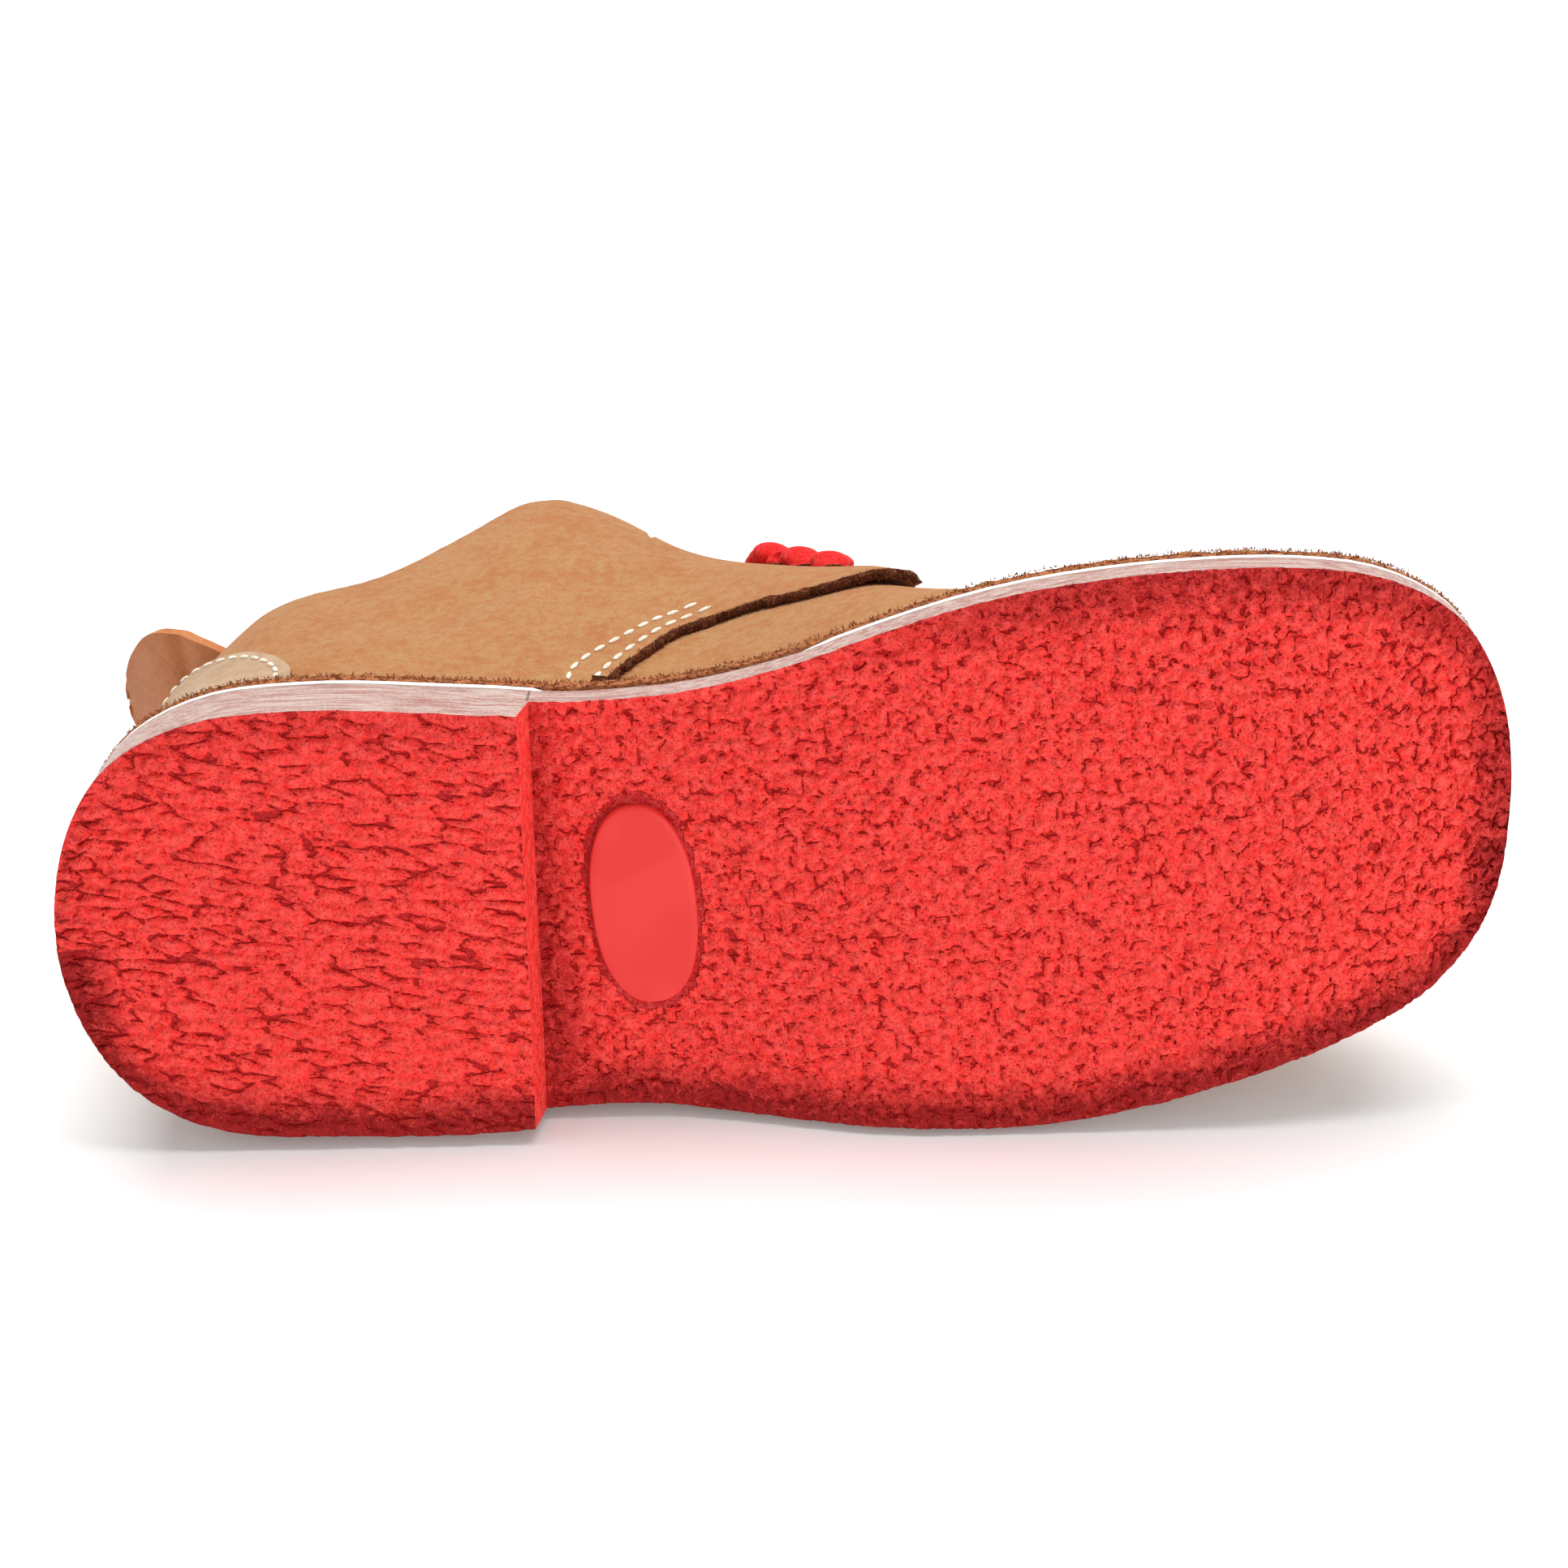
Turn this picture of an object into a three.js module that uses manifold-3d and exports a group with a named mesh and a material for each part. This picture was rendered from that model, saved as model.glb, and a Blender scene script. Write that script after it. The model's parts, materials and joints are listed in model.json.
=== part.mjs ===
// A child's left veldskoen, an ankle-high suede shoe of stitchdown make, lying on its outer side.
// Millimetres. The shoe is built standing: +X to the toe, +Z up, the inner side of the foot at -Y.
// The last group turns it about its own resting points, so that it lies on its outer side.
import * as THREE from 'three';
import * as BufferGeometryUtils from 'three/addons/utils/BufferGeometryUtils.js';
import { ConvexHull } from 'three/addons/math/ConvexHull.js';
import Module from 'manifold-3d';

const wasm = await Module();
wasm.setup();

// Sole
const SOLE_LENGTH = 213;
const BALL_WIDTH = 86;
const HEEL_WIDTH = 70.3;
const OUTSOLE_THICKNESS = 4.2;
const HEEL_BLOCK_DROP = 5.8;
const HEEL_BLOCK_LENGTH = 69.5;
const BREAST_SLANT = 1.2;
const BREAST_SKEW = 6;
const ARCH_LEAD = 13;
const TOE_SPRING = 5.5;
const MIDSOLE_THICKNESS = 1;
const MIDSOLE_WAIST_SETBACK = 2.2;
const RUNNER_THICKNESS = 0.8;
const OVAL_LENGTH = 32.5;
const OVAL_WIDTH = 15.6;
const OVAL_RISE = 0.9;
const OVAL_GROOVE_WIDTH = 0.9;
const OVAL_GROOVE_DEPTH = 0.5;
const OVAL_FROM_BREAST = 17;
const OVAL_SIDE = 1.5;
const OVAL_SQUARENESS = 2.3;

// Upper
const SUEDE = 1.6;
const QUARTER_SUEDE = 1.7;
const FLANGE_WIDTH = 4.8;
const FLARE_RADIUS = 2.2;
const COLLAR_PEAK = 98;
const SHAFT_TOP_MARGIN = 14;
const INSTEP_HEIGHT = 70;
const TOE_HEIGHT = 31;
const SHAFT_SWAY = 6;
const HEEL_SEAT_BULGE = 0.3;
const COLLAR_LEAN = 5.5;
const THROAT_END = 122;
const THROAT_HALF_GAP = 5;
const QUARTER_TIP_SPREAD = 4.5;
const QUARTER_THROAT_REACH = 24;

// Inside and trim
const INSOLE_THICKNESS = 2;
const TONGUE_THICKNESS = 2;
const TONGUE_HALF_WIDTH = 15;
const TONGUE_RISE = 3;
const TONGUE_ROOT = 12;
const PATCH_THICKNESS = 1.1;
const PATCH_LENGTH = 37;
const PATCH_HEIGHT = 25;
const TAB_LEATHER = 1.4;
const TAB_WIDTH = 33;
const TAB_ROUND = 8;
const TAB_SIDE = -9;
const TAB_SEAT = 14;
const TAB_SLIT = 0.5;
const TAB_FOLD = 1.7;
const TAB_REACH = 20;
const LACE_BREADTH = 4.9;
const LACE_THICKNESS = 3.2;
const LACE_STAND_OFF = 4.3;
const EYELET_PITCH = 5.8;
const EYELET_UP = 0.9;
const LACE_ROWS = 3;
const LACE_FIRST_X = 117;
const GAP = 0.3;

// How finely the forms are cut
const OUTLINE_STEPS = 360;
const LAST_STATIONS = 42;
const SOLE_STATIONS = 60;
const ARCH_STEPS = 10;
const OVAL_STEPS = 40;
const COLLAR_STEPS = 48;
const QUARTER_EDGE_STEPS = 36;
const THROAT_STEPS = 12;
const TONGUE_STEPS = 12;
const PATCH_STEPS = 24;
const TAB_STEPS = 20;
const TAB_ROUND_STEPS = 16;
const LACE_STEPS = 16;
const LACE_SIDES = 10;
const FLARE_SHARES = [0, 0.5, 1.2, 2.6];
const FLARE_LIMIT = 0.3;
const FAR = 400;

// Outline of the sole, seen from above, once round from the back of the heel: along is a share of
// SOLE_LENGTH, across is a share of the breadth there, the inner side being negative.
const OUTLINE = [
  { along: 0.000, across: 0.030 },
  { along: 0.020, across: -0.235 },
  { along: 0.060, across: -0.405 },
  { along: 0.119, across: -0.490 },
  { along: 0.198, across: -0.504 },
  { along: 0.297, across: -0.474 },
  { along: 0.376, across: -0.443 },
  { along: 0.446, across: -0.424 },
  { along: 0.515, across: -0.436 },
  { along: 0.594, across: -0.481 },
  { along: 0.674, across: -0.524 },
  { along: 0.773, across: -0.541 },
  { along: 0.852, across: -0.530 },
  { along: 0.913, across: -0.490 },
  { along: 0.962, across: -0.402 },
  { along: 0.991, across: -0.258 },
  { along: 1.000, across: -0.066 },
  { along: 0.988, across: 0.138 },
  { along: 0.950, across: 0.266 },
  { along: 0.893, across: 0.343 },
  { along: 0.812, across: 0.409 },
  { along: 0.733, across: 0.457 },
  { along: 0.664, across: 0.476 },
  { along: 0.575, across: 0.468 },
  { along: 0.476, across: 0.486 },
  { along: 0.376, across: 0.504 },
  { along: 0.267, across: 0.513 },
  { along: 0.178, across: 0.498 },
  { along: 0.099, across: 0.472 },
  { along: 0.050, across: 0.400 },
  { along: 0.016, across: 0.270 },
];

// Sections of the upper along the last: the place along, the ridge's height as shares of the heights
// of collar, instep and toe, how boxy the arch is, how much wider than its foot it grows on the inner
// and the outer side, and how far the ridge lies from the middle as a share of the breadth.
const SECTIONS = [
  [0.00, 0.92, 0.00, 0.00, 4.0, 0.74, 0.90, 0.00],
  [0.10, 0.94, 0.00, 0.00, 4.0, 0.74, 0.90, 0.00],
  [0.17, 0.96, 0.00, 0.00, 4.0, 0.76, 0.90, 0.00],
  [0.24, 0.98, 0.00, 0.00, 4.2, 0.91, 0.94, -0.01],
  [0.30, 0.98, 0.00, 0.00, 4.0, 1.11, 0.98, -0.03],
  [0.36, 0.93, 0.00, 0.00, 3.5, 1.17, 1.02, -0.05],
  [0.43, 0.81, 0.00, 0.00, 3.1, 1.07, 1.04, -0.07],
  [0.52, 0.00, 1.06, 0.00, 2.9, 1.08, 1.04, -0.08],
  [0.57, 0.00, 0.93, 0.00, 2.7, 1.08, 1.04, -0.075],
  [0.62, 0.00, 0.80, 0.00, 2.4, 1.02, 1.03, -0.06],
  [0.67, 0.00, 0.69, 0.00, 2.2, 1.00, 1.03, -0.05],
  [0.75, 0.00, 0.00, 1.33, 2.3, 1.00, 1.02, -0.04],
  [0.84, 0.00, 0.00, 1.17, 2.4, 1.00, 1.01, -0.03],
  [0.92, 0.00, 0.00, 1.03, 2.6, 1.00, 1.00, -0.02],
  [1.00, 0.00, 0.00, 0.92, 2.6, 1.00, 1.00, 0.00],
].map(([along, collar, instep, toe, square, medial, lateral, ridge]) => (
  { along, collar, instep, toe, square, medial, lateral, ridge }
));
const TOE_ROUND_FROM = 0.86;
const TOE_ROUNDNESS = 2.3;
const SWAY_FADE_FROM = 0.4;
const SWAY_FADE_TO = 0.65;
const SWAY_POWER = 1.3;
const HEEL_FADE_TO = 0.35;
const HEEL_TOP = 0.6;

// Top line of the collar from the side: shares of SOLE_LENGTH and of COLLAR_PEAK.
const COLLAR_LINE = [
  { along: -0.15, height: 0.700 },
  { along: 0.02, height: 0.690 },
  { along: 0.09, height: 0.665 },
  { along: 0.16, height: 0.665 },
  { along: 0.21, height: 0.720 },
  { along: 0.26, height: 0.850 },
  { along: 0.30, height: 0.955 },
  { along: 0.335, height: 0.995 },
  { along: 0.365, height: 0.995 },
  { along: 0.395, height: 0.960 },
];

const THROAT_START = 0.2;

// Middle of the pull tab from the side, from the collar to its fold: shares of TAB_REACH behind the
// end of the heel, and of COLLAR_PEAK above the tread.
const TAB_LINE = [
  { behind: -0.80, height: 0.607 },
  { behind: -0.45, height: 0.628 },
  { behind: -0.15, height: 0.663 },
  { behind: 0.08, height: 0.716 },
  { behind: 0.22, height: 0.776 },
];

// Front edge of the quarters from the side, from the flange up: shares of SOLE_LENGTH and of
// INSTEP_HEIGHT.
const QUARTER_EDGE = [
  { along: 0.372, height: 0.000 },
  { along: 0.378, height: 0.170 },
  { along: 0.394, height: 0.320 },
  { along: 0.419, height: 0.445 },
  { along: 0.436, height: 0.515 },
  { along: 0.457, height: 0.555 },
  { along: 0.487, height: 0.568 },
  { along: 0.522, height: 0.553 },
  { along: 0.560, height: 0.540 },
  { along: 0.588, height: 0.548 },
  { along: 0.608, height: 0.585 },
  { along: 0.617, height: 0.660 },
  { along: 0.611, height: 0.760 },
  { along: 0.592, height: 0.890 },
  { along: 0.560, height: 1.070 },
];

function smoothstep(from, to, value) {
  const t = Math.min(Math.max((value - from) / (to - from), 0), 1);
  return t * t * (3 - 2 * t);
}

// Value of a column of a table at a share of the length, with smooth slopes between the rows.
function tableValue(table, column, along) {
  const last = table.length - 1;
  let row = 0;
  while (row < last - 1 && table[row + 1].along < along) {
    row += 1;
  }
  const here = table[row];
  const next = table[row + 1];
  const before = table[Math.max(row - 1, 0)];
  const after = table[Math.min(row + 2, last)];
  const width = next.along - here.along;
  const t = Math.min(Math.max((along - here.along) / width, 0), 1);
  const slopeHere = (next[column] - before[column]) / (next.along - before.along) * width;
  const slopeNext = (after[column] - here[column]) / (after.along - here.along) * width;
  const t2 = t * t;
  const t3 = t2 * t;
  return (2 * t3 - 3 * t2 + 1) * here[column] + (t3 - 2 * t2 + t) * slopeHere
    + (3 * t2 - 2 * t3) * next[column] + (t3 - t2) * slopeNext;
}

const WIDENS_FROM = 0.34;
const WIDENS_TO = 0.60;
function breadth(along) {
  return HEEL_WIDTH + (BALL_WIDTH - HEEL_WIDTH) * smoothstep(WIDENS_FROM, WIDENS_TO, along);
}

const soleOutline = new THREE.CatmullRomCurve3(
  OUTLINE.map((row) => new THREE.Vector3(row.along * SOLE_LENGTH, row.across * breadth(row.along), 0)),
  true,
).getSpacedPoints(OUTLINE_STEPS).slice(0, OUTLINE_STEPS);

// The outline moved inwards by a margin, kept for each margin that is asked for.
const movedOutlines = new Map();
function outlineMovedIn(margin) {
  if (!movedOutlines.has(margin)) {
    const count = soleOutline.length;
    movedOutlines.set(margin, soleOutline.map((point, index) => {
      const before = soleOutline[(index + count - 1) % count];
      const after = soleOutline[(index + 1) % count];
      const normal = new THREE.Vector3(before.y - after.y, after.x - before.x, 0).normalize();
      return point.clone().addScaledVector(normal, margin);
    }));
  }
  return movedOutlines.get(margin);
}

// Ends of the outline along X, and its two edges across at one place along X.
function outlineEnds(margin) {
  const xs = outlineMovedIn(margin).map((point) => point.x);
  return { heel: Math.min(...xs), toe: Math.max(...xs) };
}

function outlineEdges(margin, x) {
  const points = outlineMovedIn(margin);
  const crossings = [];
  points.forEach((point, index) => {
    const next = points[(index + 1) % points.length];
    if ((point.x - x) * (next.x - x) <= 0 && point.x !== next.x) {
      crossings.push(point.y + (next.y - point.y) * (x - point.x) / (next.x - point.x));
    }
  });
  if (crossings.length < 2) {
    const nearest = points.reduce((a, b) => (Math.abs(a.x - x) < Math.abs(b.x - x) ? a : b));
    return { medial: nearest.y, lateral: nearest.y };
  }
  return { medial: Math.min(...crossings), lateral: Math.max(...crossings) };
}

// Underside of the sole: the arch behind the ball, a flat tread at the ball, the spring of the toe.
const ARCH_END = 0.60;
const SPRING_START = 0.80;
const SPRING_POWER = 1.7;
function treadHeight(x) {
  const along = x / SOLE_LENGTH;
  const archStart = (HEEL_BLOCK_LENGTH + ARCH_LEAD) / SOLE_LENGTH;
  const arch = HEEL_BLOCK_DROP * (1 - smoothstep(archStart, ARCH_END, along));
  const spring = TOE_SPRING * Math.max((along - SPRING_START) / (1 - SPRING_START), 0) ** SPRING_POWER;
  return arch + spring;
}

function soleTop(x) {
  return treadHeight(x) + OUTSOLE_THICKNESS;
}

function midsoleTop(x) {
  return soleTop(x) + GAP + MIDSOLE_THICKNESS;
}

function runnerTop(x) {
  return midsoleTop(x) + GAP + RUNNER_THICKNESS;
}

function featherHeight(x) {
  return runnerTop(x) + GAP;
}

// A closed mesh from a row of rings; a ring that has shrunk to a line or a point needs no cap.
function loft(rings, capStart, capEnd) {
  const size = rings[0].length;
  const positions = rings.flat().flatMap((point) => [point.x, point.y, point.z]);
  const indices = [];
  for (let ring = 0; ring < rings.length - 1; ring += 1) {
    for (let step = 0; step < size; step += 1) {
      const a = ring * size + step;
      const b = ring * size + (step + 1) % size;
      indices.push(a, b, b + size, a, b + size, a + size);
    }
  }
  const lastRing = (rings.length - 1) * size;
  for (let step = 1; step < size - 1; step += 1) {
    if (capStart) indices.push(0, step + 1, step);
    if (capEnd) indices.push(lastRing, lastRing + step, lastRing + step + 1);
  }
  const geometry = new THREE.BufferGeometry();
  geometry.setAttribute('position', new THREE.Float32BufferAttribute(positions, 3));
  geometry.setIndex(indices);
  return solid(geometry);
}

// A solid from a closed geometry, with its doubles merged and its faces turned outwards.
function solid(geometry) {
  const bare = geometry.clone();
  bare.deleteAttribute('normal');
  bare.deleteAttribute('uv');
  const merged = BufferGeometryUtils.mergeVertices(bare, 1e-4);
  const index = merged.getIndex().array;
  const position = merged.getAttribute('position');
  const corners = [new THREE.Vector3(), new THREE.Vector3(), new THREE.Vector3()];
  const kept = [];
  let volume = 0;
  for (let i = 0; i < index.length; i += 3) {
    const triangle = [index[i], index[i + 1], index[i + 2]];
    if (new Set(triangle).size === 3) {
      kept.push(...triangle);
      triangle.forEach((vertex, corner) => corners[corner].fromBufferAttribute(position, vertex));
      volume += corners[0].dot(corners[1].clone().cross(corners[2]));
    }
  }
  if (volume < 0) {
    for (let i = 0; i < kept.length; i += 3) {
      [kept[i + 1], kept[i + 2]] = [kept[i + 2], kept[i + 1]];
    }
  }
  return new wasm.Manifold(new wasm.Mesh({
    numProp: 3,
    vertProperties: new Float32Array(position.array),
    triVerts: new Uint32Array(kept),
  }));
}

// Stations from end to end of the outline, closer together at its round ends.
function stations(margin, count) {
  const ends = outlineEnds(margin);
  return Array.from({ length: count + 1 }, (unused, index) => {
    const share = (1 - Math.cos(Math.PI * index / count)) / 2;
    return ends.heel + (ends.toe - ends.heel) * share;
  });
}

// A layer with the sole's outline moved in by a margin, between an upper and a lower surface.
function layer(marginAt, topAt, bottomAt) {
  const margin = marginAt(0);
  const rings = stations(margin, SOLE_STATIONS).map((x, index) => {
    const isEnd = index === 0 || index === SOLE_STATIONS;
    const edges = outlineEdges(margin, x);
    const middle = (edges.medial + edges.lateral) / 2;
    const setback = marginAt(x) - margin;
    const medial = isEnd ? middle : Math.min(edges.medial + setback, middle);
    const lateral = isEnd ? middle : Math.max(edges.lateral - setback, middle);
    return [
      new THREE.Vector3(x, medial, bottomAt(x)),
      new THREE.Vector3(x, lateral, bottomAt(x)),
      new THREE.Vector3(x, lateral, topAt(x)),
      new THREE.Vector3(x, medial, topAt(x)),
    ];
  });
  return loft(rings, false, false);
}

// One section of the last at a place along X, grown outwards by a distance (negative inwards). It is
// a function from a side, a share of the rise and a flare of the foot to a point of the arch.
function lastSection(x, grow, isEnd) {
  const margin = FLANGE_WIDTH - grow;
  const ends = outlineEnds(margin);
  const along = (x - ends.heel) / (ends.toe - ends.heel);
  const edges = outlineEdges(margin, x);
  const middle = (edges.medial + edges.lateral) / 2;
  const ridge = middle + tableValue(SECTIONS, 'ridge', along) * (edges.lateral - edges.medial);
  const floor = featherHeight(x);
  const top = tableValue(SECTIONS, 'collar', along) * (COLLAR_PEAK + SHAFT_TOP_MARGIN)
    + tableValue(SECTIONS, 'instep', along) * INSTEP_HEIGHT
    + tableValue(SECTIONS, 'toe', along) * TOE_HEIGHT + grow;
  const toeShare = Math.min(Math.max((along - TOE_ROUND_FROM) / (1 - TOE_ROUND_FROM), 0), 1);
  const rise = (top - floor) * (1 - toeShare ** TOE_ROUNDNESS) ** (1 / TOE_ROUNDNESS);
  const square = tableValue(SECTIONS, 'square', along);
  const swayFade = 1 - smoothstep(SWAY_FADE_FROM, SWAY_FADE_TO, along);
  const heelFade = (1 - Math.min(along / HEEL_FADE_TO, 1)) ** 2;
  const point = (side, up, flare) => {
    const foot = isEnd ? middle : edges[side];
    const spread = 1 + (tableValue(SECTIONS, side, along) - 1) * up;
    const out = (1 - Math.min(up, 1) ** square) ** (1 / square) * spread;
    const lift = rise * up;
    const skirt = flare * Math.exp(-lift / FLARE_RADIUS) * Math.sign(foot - middle);
    const height = lift / (COLLAR_PEAK - floor);
    const sway = -SHAFT_SWAY * height ** SWAY_POWER * swayFade;
    const bulge = HEEL_SEAT_BULGE * Math.sin(Math.PI * Math.min(height / HEEL_TOP, 1));
    const lean = COLLAR_LEAN * (height / HEEL_TOP) ** 2;
    const y = ridge + (foot - ridge) * out + skirt + sway;
    return new THREE.Vector3(x + (lean - bulge) * heelFade, y, floor + lift);
  };
  return { rise, point };
}

// The form of the last as a solid, with its foot drawn down by a distance.
function lastForm(grow, flare, floorDrop) {
  const rings = stations(FLANGE_WIDTH - grow, LAST_STATIONS).map((x, index) => {
    const section = lastSection(x, grow, index === 0 || index === LAST_STATIONS);
    const lastShare = FLARE_SHARES[FLARE_SHARES.length - 1];
    const footRise = Math.min(FLARE_RADIUS * lastShare, section.rise * FLARE_LIMIT);
    const ups = FLARE_SHARES.map((share) => (
      section.rise > 0 ? footRise * share / lastShare / section.rise : 0
    ));
    const start = Math.asin(ups[ups.length - 1]);
    for (let step = 1; step <= ARCH_STEPS; step += 1) {
      ups.push(Math.sin(start + (Math.PI / 2 - start) * step / ARCH_STEPS));
    }
    const medial = ups.map((up) => section.point('medial', up, flare));
    const lateral = ups.slice(0, -1).map((up) => section.point('lateral', up, flare)).reverse();
    const medialFoot = medial[0].clone();
    const lateralFoot = lateral[lateral.length - 1].clone();
    medialFoot.z -= floorDrop;
    lateralFoot.z -= floorDrop;
    return [medialFoot, ...medial, ...lateral, lateralFoot];
  });
  return loft(rings, false, false);
}

// A prism from a side view (x, z), right through the shoe.
function sidePrism(points) {
  const shape = new THREE.Shape(points.map((point) => new THREE.Vector2(point.x, point.z)));
  const geometry = new THREE.ExtrudeGeometry(shape, { depth: FAR, bevelEnabled: false });
  geometry.translate(0, 0, -FAR / 2);
  geometry.rotateX(Math.PI / 2);
  return solid(geometry);
}

// A prism from a plan (x, y), right through the shoe.
function planPrism(points, low, high) {
  const shape = new THREE.Shape(points.map((point) => new THREE.Vector2(point.x, point.y)));
  const geometry = new THREE.ExtrudeGeometry(shape, { depth: high - low, bevelEnabled: false });
  geometry.translate(0, 0, low);
  return solid(geometry);
}

// A smooth line through the rows of a side table, in millimetres.
function sideLine(table, height, steps) {
  const points = table.map((row) => new THREE.Vector3(row.along * SOLE_LENGTH, 0, row.height * height));
  return new THREE.CatmullRomCurve3(points).getPoints(steps);
}

// Outsole: the moulded plate with its heel block, and the plain oval set on the waist.
function ovalPrism(inset, low, high) {
  const centre = { x: HEEL_BLOCK_LENGTH + OVAL_FROM_BREAST, y: OVAL_SIDE };
  const points = Array.from({ length: OVAL_STEPS }, (unused, index) => {
    const angle = 2 * Math.PI * index / OVAL_STEPS;
    const round = (value) => Math.sign(value) * Math.abs(value) ** (2 / OVAL_SQUARENESS);
    return {
      x: centre.x + (OVAL_WIDTH / 2 - inset) * round(Math.cos(angle)),
      y: centre.y + (OVAL_LENGTH / 2 - inset) * round(Math.sin(angle)),
    };
  });
  return planPrism(points, low, high);
}

function outsole() {
  const plate = layer(() => 0, soleTop, treadHeight);
  const root = HEEL_BLOCK_DROP + OUTSOLE_THICKNESS / 2;
  const heelReach = sidePrism([
    { x: -FAR, z: -FAR },
    { x: 0, z: -FAR },
    { x: 0, z: 0 },
    { x: BREAST_SLANT * root / HEEL_BLOCK_DROP, z: root },
    { x: -FAR, z: root },
  ]).rotate([0, 0, Math.atan2(BREAST_SKEW, HEEL_WIDTH) * 180 / Math.PI]).translate([HEEL_BLOCK_LENGTH, 0, 0]);
  const heelBlock = layer(() => 0, soleTop, () => 0).intersect(heelReach);
  const waistFace = treadHeight(HEEL_BLOCK_LENGTH + OVAL_FROM_BREAST);
  const groove = ovalPrism(-OVAL_GROOVE_WIDTH, -FAR, waistFace + OVAL_GROOVE_DEPTH);
  const oval = ovalPrism(0, waistFace - OVAL_RISE, waistFace + OUTSOLE_THICKNESS / 2);
  return plate.subtract(groove).add(oval).add(heelBlock);
}

// Midsole: set back along the inner waist, where only a dark line shows in its place.
const SETBACK_FROM = 0.36;
const SETBACK_TO = 0.52;
const SETBACK_EASE = 0.02;
function midsoleMargin(x) {
  const along = x / SOLE_LENGTH;
  const waist = smoothstep(SETBACK_FROM - SETBACK_EASE, SETBACK_FROM + SETBACK_EASE, along)
    * (1 - smoothstep(SETBACK_TO - SETBACK_EASE, SETBACK_TO + SETBACK_EASE, along));
  return MIDSOLE_WAIST_SETBACK * waist;
}

function midsole() {
  return layer(midsoleMargin, midsoleTop, (x) => soleTop(x) + GAP);
}

function runner() {
  return layer(() => 0, runnerTop, (x) => midsoleTop(x) + GAP);
}

function insole() {
  const margin = FLANGE_WIDTH + SUEDE + GAP;
  return layer(() => margin, (x) => featherHeight(x) + INSOLE_THICKNESS, featherHeight);
}

// Everything above the collar's top line.
function aboveCollar() {
  const line = sideLine(COLLAR_LINE, COLLAR_PEAK, COLLAR_STEPS);
  return sidePrism([...line, { x: line[line.length - 1].x, z: FAR }, { x: line[0].x, z: FAR }]);
}

// The slit between the facings, from the shaft down to its round end.
const THROAT_TIP = 0.8;
const THROAT_SPREAD_POWER = 3;
function throat(endX, halfGap, frontHalfGap) {
  const ridgeAt = (x) => lastSection(x, 0, false).point('medial', 1, 0).y;
  const start = THROAT_START * SOLE_LENGTH;
  const near = [];
  const far = [];
  for (let step = 0; step <= THROAT_STEPS; step += 1) {
    const share = step / THROAT_STEPS;
    const x = start + (endX - start) * share;
    const half = halfGap + (frontHalfGap - halfGap) * share ** THROAT_SPREAD_POWER;
    near.push({ x, y: ridgeAt(x) - half });
    far.unshift({ x, y: ridgeAt(x) + half });
  }
  const tip = { x: endX + frontHalfGap * THROAT_TIP, y: ridgeAt(endX) };
  return planPrism([...near, tip, ...far], INSTEP_HEIGHT / 2, FAR);
}

function behindQuarterEdge() {
  const line = sideLine(QUARTER_EDGE, INSTEP_HEIGHT, QUARTER_EDGE_STEPS);
  const foot = line[0];
  const end = line[line.length - 1];
  return sidePrism([
    { x: -FAR, z: featherHeight(foot.x) + SUEDE / 2 },
    { x: foot.x, z: featherHeight(foot.x) + SUEDE / 2 },
    ...line.filter((point) => point.z > featherHeight(foot.x) + SUEDE),
    { x: end.x, z: FAR },
    { x: -FAR, z: FAR },
  ]);
}

// Upper: the vamp's wall flared into the stitched flange, with the quarters laid over it as a step.
const VAMP_FLARE = 0.5 * FLANGE_WIDTH;
const QUARTER_FLARE = 0.3 * FLANGE_WIDTH;
const THROUGH_THE_FLOOR = 4 * SUEDE;
function upper() {
  const outer = lastForm(0, VAMP_FLARE, 0);
  const inner = lastForm(-SUEDE, 0, THROUGH_THE_FLOOR);
  const flange = layer(() => 0, (x) => featherHeight(x) + SUEDE, featherHeight);
  const facingEnd = THROAT_END + QUARTER_THROAT_REACH;
  const quarters = lastForm(QUARTER_SUEDE, QUARTER_FLARE, 0)
    .subtract(throat(facingEnd, THROAT_HALF_GAP, THROAT_HALF_GAP + QUARTER_TIP_SPREAD))
    .intersect(behindQuarterEdge());
  return outer
    .subtract(throat(THROAT_END, THROAT_HALF_GAP, THROAT_HALF_GAP))
    .add(flange)
    .add(quarters)
    .subtract(inner)
    .subtract(aboveCollar());
}

// Tongue: under the facings, from the vamp up to a little above the collar.
const TONGUE_TAPER = 0.5;
const TONGUE_TIP_POWER = 8;
function tongue() {
  const under = -SUEDE - GAP;
  const shell = lastForm(under, 0, 0).subtract(lastForm(under - TONGUE_THICKNESS, 0, THROUGH_THE_FLOOR));
  const start = COLLAR_LINE[COLLAR_LINE.length - 3].along * SOLE_LENGTH;
  const end = THROAT_END + TONGUE_ROOT;
  const near = [];
  const far = [];
  for (let step = 0; step <= TONGUE_STEPS; step += 1) {
    const share = step / TONGUE_STEPS;
    const x = start + (end - start) * share;
    const ridge = lastSection(x, 0, false).point('medial', 1, 0).y;
    const half = TONGUE_HALF_WIDTH * (1 - TONGUE_TAPER * share) * Math.sqrt(1 - share ** TONGUE_TIP_POWER);
    near.push({ x, y: ridge - half });
    far.unshift({ x, y: ridge + half });
  }
  far.shift();
  const strip = planPrism([...near, ...far], INSTEP_HEIGHT / 2, COLLAR_PEAK + TONGUE_RISE);
  return shell.intersect(strip);
}

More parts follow.
